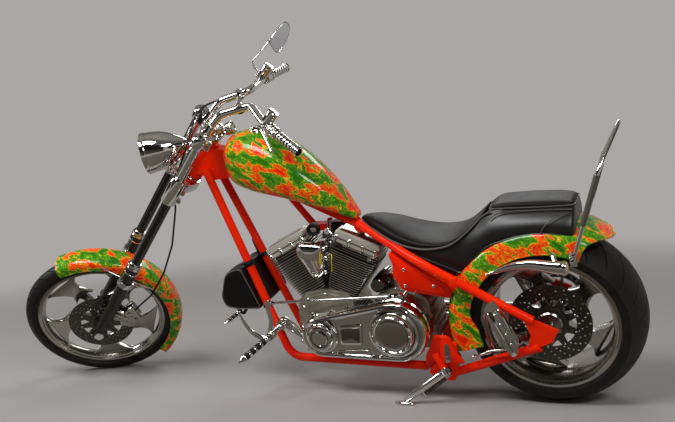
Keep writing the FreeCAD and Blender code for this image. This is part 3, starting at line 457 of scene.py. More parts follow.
def make(form, name, body, keys, stands_for="", smooth=38.0):
    """One piece from a form, or a list of forms, drawn in its body's frame."""
    form = joined(form) if isinstance(form, list) else form
    mesh = bpy.data.meshes.new(name)
    mesh.from_pydata(form.points, [], form.faces)
    mesh.polygons.foreach_set("material_index", form.marks)
    clean = bmesh.new()
    clean.from_mesh(mesh)
    bmesh.ops.remove_doubles(clean, verts=clean.verts, dist=WELD_MM)
    bmesh.ops.dissolve_degenerate(clean, edges=clean.edges, dist=WELD_MM)
    bmesh.ops.recalc_face_normals(clean, faces=clean.faces)
    clean.to_mesh(mesh)
    clean.free()
    mesh.transform(AT[body])
    return dress(mesh, name, body, keys, stands_for, smooth)


def chromed(form, name, body="frame", stands_for="", smooth=38.0):
    """A piece that is plated all over."""
    return make(form, name, body, "chrome", stands_for, smooth)


# ---------------------------------------------------------------- repeated parts, by geometry nodes
def geometry_tree(name, sizes):
    """A new tree with one named input for each size."""
    tree = bpy.data.node_groups.new(name, "GeometryNodeTree")
    tree.interface.new_socket("Geometry", in_out="OUTPUT", socket_type="NodeSocketGeometry")
    for label, value in sizes.items():
        kind = "NodeSocketInt" if isinstance(value, int) else "NodeSocketFloat"
        tree.interface.new_socket(label, in_out="INPUT", socket_type=kind).default_value = value
    return tree, tree.nodes.new("NodeGroupInput").outputs


def thick_sheet(tree, sheet, thickness):
    """A flat face pulled up into a solid: the raised part, with its sides, and the underside."""
    raised = add(tree, "ExtrudeMesh", {"Mesh": sheet, "Offset": UP, "Offset Scale": thickness,
                                       "Individual": False})
    return raised, add(tree, "FlipFaces", {"Mesh": sheet})


def perforated_disc_tree():
    """A brake disc: a ring with rows of round holes, each row turned a little from the last."""
    tree, given = geometry_tree("perforated_disc", {
        "Outer radius": 146.0, "Inner radius": 84.0, "Thickness": 5.0, "Hole radius": 3.4, "First row": 96.0,
        "Row step": 12.0, "Holes": 24, "Row turn": 0.1})
    rims = [add(tree, "CurvePrimitiveCircle", {"Resolution": 120, "Radius": given[key]})
            for key in ("Outer radius", "Inner radius")]
    rows = []
    for row in (0.0, 1.0, 2.0, 3.0):
        radius = add(tree, "ShaderNodeMath", {0: given["Row step"], 1: row, 2: given["First row"]},
                     operation="MULTIPLY_ADD")
        spots = add(tree, "MeshCircle", {"Vertices": given["Holes"], "Radius": radius})
        angle = add(tree, "ShaderNodeMath", {0: given["Row turn"], 1: row}, operation="MULTIPLY")
        twist = add(tree, "ShaderNodeCombineXYZ", {2: angle})
        rows.append(add(tree, "Transform", {"Geometry": spots, "Rotation": twist}))
    spots = add(tree, "JoinGeometry", {0: rows})
    hole = add(tree, "CurvePrimitiveCircle", {"Resolution": 10, "Radius": given["Hole radius"]})
    holes = add(tree, "InstanceOnPoints", {"Points": spots, "Instance": hole})
    outlines = add(tree, "JoinGeometry", {0: rims + [add(tree, "RealizeInstances", {0: holes})]})
    face = add(tree, "FillCurve", {"Curve": outlines}, mode="TRIANGLES")
    whole = add(tree, "JoinGeometry", {0: list(thick_sheet(tree, face, given["Thickness"]))})
    welded = add(tree, "MergeByDistance", {"Geometry": whole, "Distance": 0.01})
    solid = add(tree, "RealizeInstances", {0: welded})
    painted = add(tree, "SetMaterial", {"Geometry": solid, "Material": FINISH["disc"]})
    add(tree, "NodeGroupOutput", {0: painted})
    return tree


def fin_stack_tree():
    """Cooling fins up a cylinder: flat plates with cut corners that grow from the lowest to the highest."""
    tree, given = geometry_tree("fin_stack",
                                {"Fins": 17, "Pitch": 10.0, "Thickness": 3.2, "Low": 64.0, "High": 101.0,
                                 "Side": 77.0, "Corner": 20.0})
    pitch = add(tree, "ShaderNodeCombineXYZ", {2: given["Pitch"]})
    line = add(tree, "MeshLine", {"Count": given["Fins"], "Offset": pitch}, mode="OFFSET")
    wide, deep = (add(tree, "ShaderNodeMath", {0: given[key], 1: 2.0}, operation="MULTIPLY")
                  for key in ("Low", "Side"))
    outline = add(tree, "CurvePrimitiveQuadrilateral", {"Width": wide, "Height": deep})
    corners = add(tree, "FilletCurve", {"Curve": outline, "Count": 4, "Radius": given["Corner"]}, mode="POLY")
    sheet = add(tree, "FillCurve", {"Curve": corners}, mode="NGONS")
    raised, underside = thick_sheet(tree, sheet, given["Thickness"])
    shaped = add(tree, "SetMaterial", {"Geometry": raised, "Material": FINISH["wrinkle"]})
    edged = add(tree, "SetMaterial", {"Geometry": shaped, "Selection": raised.outputs["Side"],
                                      "Material": FINISH["fin_edges"]})
    dull = add(tree, "SetMaterial", {"Geometry": underside, "Material": FINISH["wrinkle"]})
    fin = add(tree, "JoinGeometry", {0: [edged, dull]})
    last = add(tree, "ShaderNodeMath", {0: given["Fins"], 1: 1.0}, operation="SUBTRACT")
    share = add(tree, "ShaderNodeMath", {0: add(tree, "InputIndex"), 1: last}, operation="DIVIDE")
    growth = add(tree, "ShaderNodeMath", {0: given["High"], 1: given["Low"]}, operation="DIVIDE")
    reach = add(tree, "ShaderNodeMapRange", {"Value": share, "To Min": 1.0, "To Max": growth})
    size = add(tree, "ShaderNodeCombineXYZ", {0: reach, 1: 1.0, 2: 1.0})
    stack = add(tree, "InstanceOnPoints", {"Points": line, "Instance": fin, "Scale": size})
    solid = add(tree, "RealizeInstances", {0: stack})
    welded = add(tree, "MergeByDistance", {"Geometry": solid, "Distance": 0.01})
    add(tree, "NodeGroupOutput", {0: welded})
    return tree


def bolt_circle_tree():
    """Domed bolt heads on a circle."""
    tree, given = geometry_tree("bolt_circle", {
        "Bolts": 6, "Circle radius": 60.0, "Head radius": 5.0, "Head height": 4.0})
    spots = add(tree, "MeshCircle", {"Vertices": given["Bolts"], "Radius": given["Circle radius"]})
    head = add(tree, "MeshUVSphere", {"Segments": 12, "Rings": 8, "Radius": given["Head radius"]})
    squeeze = add(tree, "ShaderNodeMath", {0: given["Head height"], 1: given["Head radius"]},
                  operation="DIVIDE")
    low = add(tree, "ShaderNodeCombineXYZ", {0: 1.0, 1: 1.0, 2: squeeze})
    flat = add(tree, "Transform", {"Geometry": head, "Scale": low})
    bolts = add(tree, "InstanceOnPoints", {"Points": spots, "Instance": flat})
    solid = add(tree, "RealizeInstances", {0: bolts})
    painted = add(tree, "SetMaterial", {"Geometry": solid, "Material": FINISH["chrome"]})
    add(tree, "NodeGroupOutput", {0: painted})
    return tree


DISC_TREE, FIN_TREE, BOLT_TREE = perforated_disc_tree(), fin_stack_tree(), bolt_circle_tree()


def grown(tree, sizes, name, body, matrix, stands_for="", smooth=30.0):
    """One piece from a geometry tree, made a plain mesh and stood in its place."""
    holder = set_out(name, bpy.data.meshes.new(name + "_seed"))
    grower = holder.modifiers.new("grower", "NODES")
    grower.node_group = tree
    for item in tree.interface.items_tree:
        if item.in_out == "INPUT" and item.name in sizes:
            grower[item.identifier] = sizes[item.name]
    ready = holder.evaluated_get(bpy.context.evaluated_depsgraph_get())
    mesh = bpy.data.meshes.new_from_object(ready)
    bpy.data.objects.remove(holder)
    mesh.transform(AT[body] @ matrix)
    painted = [material.name for material in mesh.materials if material]
    keys = [next(key for key, material in FINISH.items() if material.name == label) for label in painted]
    return dress(mesh, name, body, " ".join(keys), stands_for, smooth)


def bolts(name, body, centre, way, count, radius, head=5.0, slot="chrome"):
    return grown(BOLT_TREE, {"Bolts": count, "Circle radius": radius, "Head radius": head,
                             "Head height": head * 0.8}, name, body, facing(centre, way), "")


# ---------------------------------------------------------------- wheels
def tyre(name, body, size, pitch_count, stands_for):
    """A road tyre: sweeping grooves pressed between rows of blocks, and ribs on its walls."""
    radius, half, crown, bead, lip_half = size
    edge = 0.93 * half
    shoulder = radius - crown + sqrt(crown ** 2 - edge ** 2)
    across = [edge * (1 - k / 8) for k in range(17)]
    rows = [(radius - crown + sqrt(crown ** 2 - y ** 2), y, True) for y in across]
    wall = [(0.86, 1.0), (0.72, 1.035), (0.68, 1.0), (0.45, 1.0), (0.24, 0.99), (0.2, 0.965), (0.06, 0.9)]
    side = [(bead + s * (shoulder - bead), min(half * w, half) if s > 0.1 else lip_half, False)
            for s, w in wall]
    wall_down = side + [(bead + 1, lip_half - 5, False)]
    profile = wall_down[::-1] + rows + [(r, -y, grooved) for r, y, grooved in wall_down]
    pitch = 2 * pi / pitch_count
    lines = [0.0, 1.2 / radius, 5.2 / radius, 6.4 / radius]
    lines += [lines[-1] + (pitch - lines[-1]) * k / 5 for k in range(1, 5)]
    rings = []
    for r, y, grooved in profile:
        ring = []
        bare_middle = abs(y) < 0.10 * half
        for turn_number in range(pitch_count):
            for k, angle in enumerate(lines):
                lead = 1.1 * pitch * (abs(y) / half) ** 0.8 + (0.5 * pitch if y < 0 else 0)
                a = turn_number * pitch + angle + lead
                deep = 4.5 if grooved and k in (1, 2) and not bare_middle and abs(y) < 0.9 * half else 0
                ring.append(V(((r - deep) * cos(a), y, (r - deep) * sin(a))))
        rings.append(ring)
    make(Form().rings(rings, loop=True), name, body, "tyre", stands_for, 32)


SPOKES = 5
THORN_LEFT = [(0.13, -22), (0.28, -13), (0.42, -12), (0.55, -17), (0.50, -33), (0.66, -22), (0.84, -31),
              (1.0, -40)]
THORN_RIGHT = [(1.0, 2), (0.88, -3), (0.74, -2), (0.58, 13), (0.60, 2), (0.44, 4), (0.3, 10), (0.13, 22)]


def two_sided(profile):
    """A closed profile of (radius, along) from one side's points."""
    return profile + [(r, -h) for r, h in reversed(profile)]


def wheel(name, body, size, hub, web, stands_for, first):
    """Rim with stepped lips, thorn-shaped spokes and a hub with a bearing cap."""
    bead, lip, half = size
    hub_r, hub_half, axle_r = hub
    well = bead - 26
    rim = ring_of(two_sided([(bead, half - 6), (lip, half - 6), (lip + 1.5, half - 3), (lip - 1, half),
                             (bead - 8, half), (bead - 12, half - 3), (bead - 14, half - 9),
                             (bead - 20, half - 12), (bead - 24, half - 22), (well, half - 26)]), steps=120)
    core = ring_of(two_sided([(axle_r, -hub_half), (hub_r - 4, -hub_half), (hub_r, 4 - hub_half),
                              (hub_r, -web * 1.6), (hub_r + 8, -web)]), steps=56)
    reach = well + 3

    def at(share, degree):
        a = radians(degree)
        return (reach * share * cos(a), reach * share * sin(a))
    left, right = [at(*p) for p in THORN_LEFT], [at(*p) for p in THORN_RIGHT]
    outline = thorn_line(left) + thorn_line(right)
    spokes = []
    for k in range(SPOKES):
        turn = Matrix.Rotation(-2 * pi * k / SPOKES - radians(first), 4, "Y")
        spokes.append(plate(outline, -web, web, 0, web * 0.45).moved(turn))
    make([rim, core] + spokes, name, body, "polished", stands_for, 34)


def thorn_line(points):
    """Curves between the thorn's corners, which stay sharp."""
    out = []
    for (x0, z0), (x1, z1) in zip(points, points[1:]):
        middle = V((x0 + x1, z0 + z1)) * 0.5
        bow = V((z0 - z1, x1 - x0)) * 0.10
        for k in range(4):
            t = k / 4
            p = V((x0, z0)) * (1 - t) ** 2 + (middle + bow) * 2 * t * (1 - t) + V((x1, z1)) * t ** 2
            out.append((p.x, p.y))
    return out + [points[-1]]


DISC_T, CARRIER_R = 5.0, 92.0


def brake_disc(name, body, y, hub_r, stands_for):
    """Drilled ring, carrier arms and the buttons between them."""
    stand = facing((0, y - DISC_T / 2, 0), LEFT)
    grown(DISC_TREE, {"Inner radius": CARRIER_R, "First row": 100.0, "Row step": 12.5, "Holes": 22,
                      "Row turn": 0.095, "Hole radius": 3.6}, name, body, stand, stands_for)
    inner, arms, outline = hub_r + 2, 9, []
    for a in (2 * pi * k / arms for k in range(arms)):
        for share, offset in ((0.62, -0.30), (1.04, -0.10), (1.04, 0.10), (0.62, 0.30)):
            outline.append((CARRIER_R * share * cos(a + offset), CARRIER_R * share * sin(a + offset)))
    carrier = plate(outline, y - 3.4, y + 3.4, 5, 1.2) + turned(
        [(inner + 18, 0), (inner + 16, 9), (inner + 6, 12), (inner - 4, 12), (inner - 4, 0)],
        (0, y, 0))
    make(carrier, name + "_carrier", body, "disc", "")
    bolts(name + "_buttons", body, (0, y + 0.8, 0), LEFT, arms, CARRIER_R + 1, 5.2, "steel")


REAR_TYRE, FRONT_TYRE = (327.0, 138.0, 200.0, 240.0, 120.0), (343.0, 45.0, 46.0, 283.0, 32.0)
REAR_DISC_Y, FRONT_DISC_Y = 92.0, 56.0
tyre("rear_road_tyre", "rear_wheel", REAR_TYRE, 24, "rear_tyre")
tyre("front_road_tyre", "front_wheel", FRONT_TYRE, 30, "front_tyre")
wheel("rear_thorn_wheel", "rear_wheel", (240.0, 256.0, 120.0), (46.0, 112.0, 12.8), 22, "rear_wheel", 12)
wheel("front_thorn_wheel", "front_wheel", (283.0, 300.0, 32.0), (34.0, 50.0, 10.3), 9, "front_wheel", 40)
brake_disc("rear_drilled_disc", "rear_wheel", REAR_DISC_Y, 46, "rear_disc")
brake_disc("front_drilled_disc", "front_wheel", FRONT_DISC_Y, 34, "front_disc")


# ---------------------------------------------------------------- tank, fenders and seat
def both_sides(x, left, shared=1):
    """A closed ring across the machine from its left half, which ends on the middle line when shared."""
    return [V((x, y, z)) for y, z in left + [(-y, z) for y, z in reversed(left[:len(left) - shared])]]


def domed(end, depth, steps=3):
    """Rings that close one end of a form with a shallow dome."""
    middle = sum(end, V((0, 0, 0))) / len(end)
    angles = [pi / 2 * k / (steps + 0.35) for k in range(1, steps + 1)]
    return [[middle + (p - middle) * cos(a) + V(depth) * sin(a) for p in end] for a in angles]


BACK_END, HEAD_X = 698.0, 1419.0
SPINE_LOW, SPINE_RISE = 379, 0.607      # the backbone's top at its rear end, and its rise along X
# columns: share of the way from the backbone's rear end to the head, half width, bottom, top
TANK_ROWS = [(0.735, 40, 632, 716), (0.722, 66, 606, 740), (0.669, 100, 572, 770), (0.544, 124, 540, 778),
             (0.384, 126, 510, 732), (0.232, 108, 472, 642), (0.107, 76, 430, 530), (0.035, 44, 402, 446),
             (0.012, 28, 396, 424)]


def tank_ring(share, half, low, high, steps=11):
    """The tank's outline: a ridge on top, full flanks, tucked-in bottom and the tunnel for the backbone."""
    x = BACK_END + share * (HEAD_X - BACK_END)
    widest = low + 0.46 * (high - low)
    top = [(half * cos(pi / 2 * k / steps), widest + (high - widest) * sin(pi / 2 * k / steps) ** 0.93)
           for k in range(steps + 1)]
    low_part = [(half * (1 - 0.42 * (k / 6) ** 2.2), widest - (widest - low) * sin(pi / 2 * k / 6))
                for k in range(1, 7)]
    spine = SPINE_LOW + (x - BACK_END) * SPINE_RISE
    roof = min(max(spine + 10, low + 2), high - 10)
    tunnel = [(25, low), (25, roof)]
    return both_sides(x, tunnel[::-1] + low_part[::-1] + top)


rings = [tank_ring(*row) for row in flowing(TANK_ROWS, 4)]
rings = domed(rings[0], (8, 0, -2))[::-1] + rings + domed(rings[-1], (-5, 0, -3))
make(Form().rings(rings), "flame_camouflage_tank", "frame", "camouflage", "fuel_tank", 40)
CAP = V((1077, 0, 772))
chromed(turned([(35, -6), (35, 3), (33, 6), (29, 7), (28, 10), (28, 15), (26, 18), (12, 20), (0.5, 20.5)],
               CAP, (-0.06, 0, 1), 40)
        + turned([(37.5, -8), (40, -3), (37.5, 1), (35, 1), (35, -8)], CAP, (-0.06, 0, 1), 40), "fuel_cap")
bolts("fuel_cap_screws", "frame", CAP + V((0, 0, 6.5)), (-0.06, 0, 1), 6, 31, 2.2)


HEM_DEEP = 40.0


def fender_form(outer, thick, span, centre, cut_back=0.0, deeper=None, steps=72):
    """A fender: half a profile of (radius, across), turned through span and mirrored, with a rolled edge.

    cut_back trims the rear end at its sides; deeper(angle) lowers the side edge."""
    half = outer[0][1]
    inner = [(outer[0][0], half - thick)] + [(r - thick, max(0.0, y - thick)) for r, y in outer[1:]]
    line = outer + [(r, -y) for r, y in reversed(outer[:-1])]
    under = inner + [(r, -y) for r, y in reversed(inner[:-1])]
    profile = line + list(reversed(under))

    def at(r, y, k):
        side = abs(y) / half
        last = span[1] - cut_back * side ** 1.6
        angle = span[0] + (last - span[0]) * k / steps
        low = deeper(angle) if deeper else 0.0
        drop = low * max(0.0, 1 - (r - outer[0][0]) / HEM_DEEP) if side > 0.9 else 0.0
        a = radians(angle)
        return V(centre) + V(((r - drop) * cos(a), y, (r - drop) * sin(a)))
    form_rings = [[at(r, y, k) for r, y in profile] for k in range(steps + 1)]
    hems = [Form().rings(form_rings)]
    for s in (1, -1):
        j = 0 if s > 0 else len(line) - 1
        edge = [ring[j] - V((0, s * thick / 2, 0)) for ring in form_rings]
        hems.append(bar(edge, thick * 0.9, 8, 0, up=LEFT))
    for ring in (form_rings[0], form_rings[-1]):
        hems.append(bar([(ring[j] + ring[len(profile) - 1 - j]) * 0.5 for j in range(len(line))],
                        thick * 0.9, 8))
    return joined(hems)


REAR_FENDER = [(281, 152), (300, 152), (318, 151.5), (334, 148.5), (347, 141), (356, 129), (363, 112),
               (368.5, 90), (373, 64), (376, 34), (377, 0)]


SKIRT_DEEP, SKIRT_END, SKIRT_RAMP = 36.0, 4, 3.0       # in mm, and in degrees round the wheel


def rear_skirt(angle):
    """The front of the rear fender reaches further in towards the wheel."""
    return SKIRT_DEEP / (1 + 2.718 ** ((angle - SKIRT_END) / SKIRT_RAMP))


make(fender_form(REAR_FENDER, 4.0, (-16, 128), (0, 0, 0), 13, rear_skirt), "wide_rear_fender", "frame",
     "camouflage", "rear_fender", 40)
FRONT_FENDER = [(316, 61), (332, 61), (346, 59.5), (353, 55), (358, 47), (362, 37), (365, 25), (366.5, 12),
                (367, 0)]
FORK_AXLE = (FORK_OFFSET, 0, 0)
make(fender_form(FRONT_FENDER, 3.5, (37, 196), FORK_AXLE, 6), "narrow_front_fender", "steering",
     "camouflage", "front_fender", 40)
SIDES = ((1, "left"), (-1, "right"))
stays = []
for s, side in SIDES:
    for degree, width in ((70, 12), (96, 22), (122, 12)):
        a = radians(degree)
        foot = V(FORK_AXLE) + V((337 * cos(a), s * 62.5, 337 * sin(a)))
        hand = V((FORK_OFFSET, s * (LEG_Y - 27), 318 + (degree == 96) * 6))
        stays.append(bar([foot - V((0, 0, 8)), foot, foot * 0.5 + hand * 0.5 + V((0, s * 4, 4)), hand],
                         width / 2, 10, flat=0.5))
    stays.append(ring_of([(29.6, -13), (33.5, -12), (34.5, -8), (34.5, 8), (33.5, 12), (29.6, 13)],
                         (FORK_OFFSET, s * LEG_Y, 322), UP, 36))
chromed(stays, "front_fender_brackets", "steering")

# chrome horns along the rear fender's edge, swelling into the turn lamps
for s, side in SIDES:
    sweep = flowing([(194, s * 157, 212), (160, s * 160, 223), (119, s * 162, 238), (71, s * 167, 249),
                     (25, s * 173, 253), (-24, s * 181, 249), (-62, s * 183, 245), (-84, s * 183, 243.5)], 5)
    swells = [(0.0, 2.0), (0.12, 7.0), (0.3, 12.5), (0.5, 17.5), (0.7, 21.5), (0.88, 25.0), (1.0, 24.0)]
    thick = []
    for k in range(len(sweep)):
        t = k / (len(sweep) - 1)
        low, high = next((a, b) for a, b in zip(swells, swells[1:]) if t <= b[0])
        thick.append(low[1] + (high[1] - low[1]) * (t - low[0]) / (high[0] - low[0]))
    cover = bar(sweep, thick, 28, flat=0.8, up=(0, s, 0))
    lamp_ring = ring_of([(19, -8), (25.5, -8), (26.5, -5), (26.5, 1), (25, 4), (19, 4)],
                        (-84, s * 183, 243.5), BEHIND, 40)
    neck = bar([(-40, s * 153, 285), (-46, s * 166, 276), (-50, s * 178, 262)], 9, 14)
    chromed([cover, lamp_ring, neck], side + "_fender_cover", "frame", "fender_struts" if s > 0 else "", 40)
    make(turned([(23, -3), (23, 2), (19, 5), (12, 7), (0.5, 8)], (-86, s * 183, 243.5), BEHIND, 32),
         side + "_turn_lamp_lens", "frame", "amber", "")

# sissy bar with its brackets, wrapped at the top
SISSY = [(-106, 168.5, 256), (-205, 150, 560), (-276, 0, 700), (-205, -150, 560), (-106, -168.5, 256)]
hoop = bent(SISSY, [120, 40, 120], 8)
chromed(bar(hoop, 7.5, 16), "sissy_hoop", "frame", "sissy_bar")
wraps = []
for s in (1, -1):
    run = [V((-205 + 99 * (1 - t), s * (150 + 18.5 * (1 - t)), 560 - 304 * (1 - t)))
           for t in (0.42, 0.6, 0.78, 0.97)]
    wraps.append(bar(run, [8.6, 9.6, 9.6, 8.6], 14))
make(wraps, "hoop_sleeves", "frame", "piping_and_painted_highlight", "")
feet = []
for s in (1, -1):
    feet.append(brick(-122, -96, s * 160 - 5, s * 160 + 5, 240, 292, 3))
    feet += [turned([(8, 0), (8, 5), (5, 7), (0.5, 7.5)], at, (0, s, 0), 20)
             for at in ((-107, s * 176, 262), (-112, s * 175, 282))]
chromed(feet, "hoop_brackets")

# columns: x, half width, lip, edge height, crown
SEAT_ROWS = [(690, 10, 386, 392, 398), (676, 27, 380, 391, 404), (650, 50, 368, 384, 405),
             (615, 74, 357, 374, 401), (560, 104, 334, 352, 383), (500, 122, 312, 330, 358),
             (440, 131, 300, 317, 338), (380, 133, 299, 314, 328), (325, 131, 309, 322, 331),
             (290, 122, 327, 338, 343), (258, 112, 350, 358, 362), (226, 98, 378, 386, 390),
             (204, 86, 398, 406, 410)]


def seat_ring(x, half, lip, edge, crown):
    """Across the seat: a rolled lip, a short wall that leans in, and a dished top between raised sides."""
    wall = [(half - 8, lip), (half - 1, lip + 1), (half + 1.2, lip + 4), (half, lip + 8),
            (half - 3, lip + 9.5), (half - 2.5, lip + 11)]
    top = []
    for k in range(9):
        t = k / 8
        y = (half - 4) * cos(pi / 2 * t)
        top.append((y, edge + (crown - edge) * sin(pi / 2 * t) ** 0.8))
    return both_sides(x, [(half * 0.4, lip)] + wall + top)


seat = Form().rings([seat_ring(*row) for row in flowing(SEAT_ROWS, 4)])
saddle = make(seat, "dished_leather_saddle", "frame", "leather", "seat_pad", 50)
# the bead round the saddle's lip is real piping, but its light grey is a painted highlight along the rolled
# edge
roll = [V((x, half + 0.5, lip + 4)) for x, half, lip, edge, crown in SEAT_ROWS]
roll_line = flowing(roll + [V((168, 92, 424))], 5)
lip_beads_painted_highlight = [bar([V((p.x, s * p.y, p.z)) for p in roll_line], 3.6, 8) for s in (1, -1)]
make(lip_beads_painted_highlight, "saddle_piping_painted_highlight", "frame", "piping_and_painted_highlight", "")

# columns: x, half width, bottom, edge height, crown
PILLION_ROWS = [(176, 60, 424, 428, 431), (168, 70, 425, 432, 437), (150, 75, 426, 438, 445),
                (120, 77, 427, 441, 449), (60, 79, 427, 443, 451), (0, 79, 427, 442, 450),
                (-60, 77, 427, 440, 448), (-96, 72, 427, 436, 443), (-110, 66, 427, 432, 438),
                (-116, 60, 427, 430, 432)]


def pillion_ring(x, half, low, edge, crown):
    left = [(half * 0.5, low), (half - 3, low), (half + 1, low + 2), (half + 1, low + 4), (half - 2, edge)]
    left += [((half - 5) * cos(pi / 2 * k / 8), edge + (crown - edge) * sin(pi / 2 * k / 8) ** 0.75)
             for k in range(1, 9)]
    return both_sides(x, left)


pillion = Form().rings([pillion_ring(*row) for row in flowing(PILLION_ROWS, 4)])
pad = make(pillion, "pillion_pad", "frame", "leather", "passenger_pad", 50)
# the bead round the pillion's lower lip is real piping, but its light grey is a painted highlight along that
# edge
edge_line = flowing([V((x, half + 1, low + 2)) for x, half, low, edge, crown in PILLION_ROWS], 3)
round_pad = [V((p.x, p.y, p.z)) for p in edge_line] + [V((p.x, -p.y, p.z)) for p in reversed(edge_line)]
make(bar(round_pad, 2.6, 8, loop=True), "pillion_piping_painted_highlight", "frame", "piping_and_painted_highlight", "")

# columns: x, half width below, bottom, half width above, top
SKIRT_ROWS = [(610, 62, 352, 66, 356), (560, 96, 320, 98, 331), (500, 112, 296, 115, 309),
              (440, 120, 266, 124, 297), (380, 124, 240, 127, 296), (325, 126, 217, 126, 306),
              (290, 128, 204, 119, 324), (258, 132, 236, 110, 347), (226, 134, 268, 97, 376),
              (200, 135, 292, 88, 398), (176, 135, 306, 82, 416), (150, 135, 316, 79, 424.5),
              (90, 135, 334, 80, 425.5), (20, 135, 344, 81, 425.7), (-50, 135, 342, 80, 425.7),
              (-100, 132, 330, 77, 425.5), (-112, 124, 330, 72, 424), (-116, 112, 334, 66, 421)]


def skirt_ring(x, low_half, low, top_half, top):
    """The moulded base below both cushions: a slight roll at its foot and bowed walls."""
    left = [(low_half * 0.35, low + 2), (low_half - 3, low + 1), (low_half + 1.5, low + 2),
            (low_half + 2, low + 6), (low_half, low + 8)]
    for k in range(1, 8):
        t = k / 7
        bow = 9 * sin(pi * t) * min(1.0, (top - low) / 90)
        left.append((low_half + (top_half - low_half) * t ** 1.5 + bow, low + 8 + (top - low - 8) * t))
    return both_sides(x, left + [(top_half - 3, top), (top_half * 0.4, top)], 0)


base = Form().rings([skirt_ring(*row) for row in flowing(SKIRT_ROWS, 3)])
make(base, "saddle_base", "frame", "base_vinyl", "seat_pan", 40)
# beads on the base's walls: their light grey is a painted highlight along the upper edge of the side panels
seam_beads_painted_highlight = []
for s in (1, -1):
    seam_beads_painted_highlight.append(bar(flowing([(-4, s * 136, 352), (-20, s * 139, 378), (-48, s * 130, 400),
                              (-100, s * 104, 412)], 6), 1.8, 6))
    seam_beads_painted_highlight.append(bar(flowing([(172, s * 112, 400), (140, s * 102, 419), (90, s * 99, 423), (20, s * 97, 423),
                              (-60, s * 96, 423), (-108, s * 92, 419)], 6), 2.4, 6))
make(seam_beads_painted_highlight, "base_seams_painted_highlight", "frame", "piping_and_painted_highlight", "")

# side tank with a pressed step and its fixings
OIL_TANK = [(556, 298), (345, 168), (330, 150), (332, 114), (517, 146), (551, 211), (540, 240)]
pressing = plate(OIL_TANK, -146, 146, 16, 6)
raised = [plate([(532, 268), (372, 170), (352, 150), (352, 130), (508, 158), (532, 212), (522, 240)], y0,
                y1, 14, 3) for y0, y1 in ((144, 150), (-150, -144))]
make([pressing] + raised, "side_oil_tank", "frame", "lacquer", "oil_tank", 34)
tank_bolts = [turned([(6, 0), (6, 3), (4, 5), (0.5, 5.5)], (x, s * 150, z), (0, s, 0), 16)
              for x, z in ((498, 232), (392, 166), (500, 168)) for s in (1, -1)]
chromed(tank_bolts, "side_tank_screws")


# ---------------------------------------------------------------- engine
CRANK, CLUTCH = V((865, 0, -35)), V((552, 0, -8))
V_ANGLE, FIN_SIDE = 24.5, 76.0


for side, word in ((1, "front"), (-1, "rear")):
    stand = Matrix.Translation(CRANK) @ Matrix.Rotation(radians(side * V_ANGLE), 4, "Y")
    grown(FIN_TREE, {"Side": FIN_SIDE}, word + "_cooling_fins", "frame",
          stand @ Matrix.Translation((0, 0, 156)), word + "_cylinder")
    barrel = turned([(57, 118), (57, 152), (54, 154), (54, 330)], (0, 0, 0), UP, 40, 0)
    base_plate = brick(-66, 66, -66, 66, 122, 138, 4, 1)
    head = brick(-84, 84, -60, 60, 322, 353, 6, 0)
    ribs = [brick(-99, 99, -72, 72, z, z + 4, 1.5, 3) for z in (327, 337, 347)]
    lower = brick(-97, 97, -63, 63, 352, 368, 4, 2)
    gasket = brick(-99, 99, -64.5, 64.5, 367.5, 371, 1, 3)
    upper = brick(-96, 96, -62, 62, 371, 397, 6, 2)
    lid = brick(-82, 82, -48, 48, 396, 400, 3, 3)
    whole = joined([barrel, base_plate, head] + ribs + [lower, gasket, upper, lid]).moved(stand)
    make(whole, word + "_cylinder_head", "frame", "wrinkle cast rocker polished", "", 34)
    studs = []
    for x in (-86, -30, 30, 86):
        for s in (1, -1):
            studs.append(turned([(7.5, 352), (7.5, 374), (6, 376)], (x, s * 62, 0), UP, 18))
            studs.append(hexagon((x, s * 62, 375), UP, 6.2, 6))
    studs.append(turned([(11, 0), (11, 9), (8, 14), (0.5, 16)], (side * 70, 60, 338), (0, 1, 0.15), 24))
    chromed(joined(studs).moved(stand), word + "_rocker_bolts")
    plug = turned([(9, 0), (9, 10), (7, 11), (7, 30), (10, 32), (10, 52), (7, 57), (0.5, 58)],
                  (side * -34, 52, 334), (side * -0.62, 0.62, 0.3), 20)
    make(plug.moved(stand), word + "_spark_plug_cap", "frame", "rubber", "")
    rods = []
    for x in (-24, 24):
        foot, top = V((CRANK.x + side * 44 + x * 0.8, -98, 52)), stand @ V((x, -84, 338))
        way, length = top - foot, (top - foot).length
        rods.append(turned([(8.5, 0), (12, 2), (12, 16), (10, 19), (8.5, 22), (8.5, length * 0.45),
                            (10.5, length * 0.46), (10.5, length * 0.56), (8.5, length * 0.57),
                            (8.5, length - 20), (11.5, length - 17), (11.5, length - 2), (8.5, length)],
                           foot, way, 24))
        rods.append(turned([(13, 0), (13, 22)], stand @ V((x, -62, 338)), stand.to_3x3() @ V((0, -1, 0)), 20))
    chromed(rods, word + "_pushrod_tubes")

CASE = [(772, 108), (865, 126), (958, 108), (1000, 60), (1000, -90), (950, -152), (780, -152), (735, -90),
        (735, 40)]
case = [plate(CASE, -84, 84, 22, 9)]
case.append(plate([(770, 100), (865, 124), (958, 100), (990, 55), (990, -86), (944, -146), (786, -146),
                   (745, -86), (745, 36)], -3, 3, 20, 1.5))
for s in (1, -1):
    case.append(plate([(784, 92), (865, 112), (946, 92), (972, 54), (950, 26), (880, 44), (800, 44),
                       (760, 20), (750, 46)], *sorted((s * 80, s * 89)), 12, 3))
    case.append(plate([(950, 20), (985, 44), (1004, 36), (1008, -30), (996, -84), (960, -110), (944, -60)],
                      *sorted((s * 50, s * 80)), 10, 4))
make(case, "split_crankcase", "frame", "cast", "crankcase", 34)
case_bolts = [hexagon((x, s * 87, z), (0, s, 0), 6, 6)
              for x, z in ((786, 84), (944, 84), (865, 106), (968, 50), (760, 34), (990, -40), (992, -80))
              for s in (1, -1)]
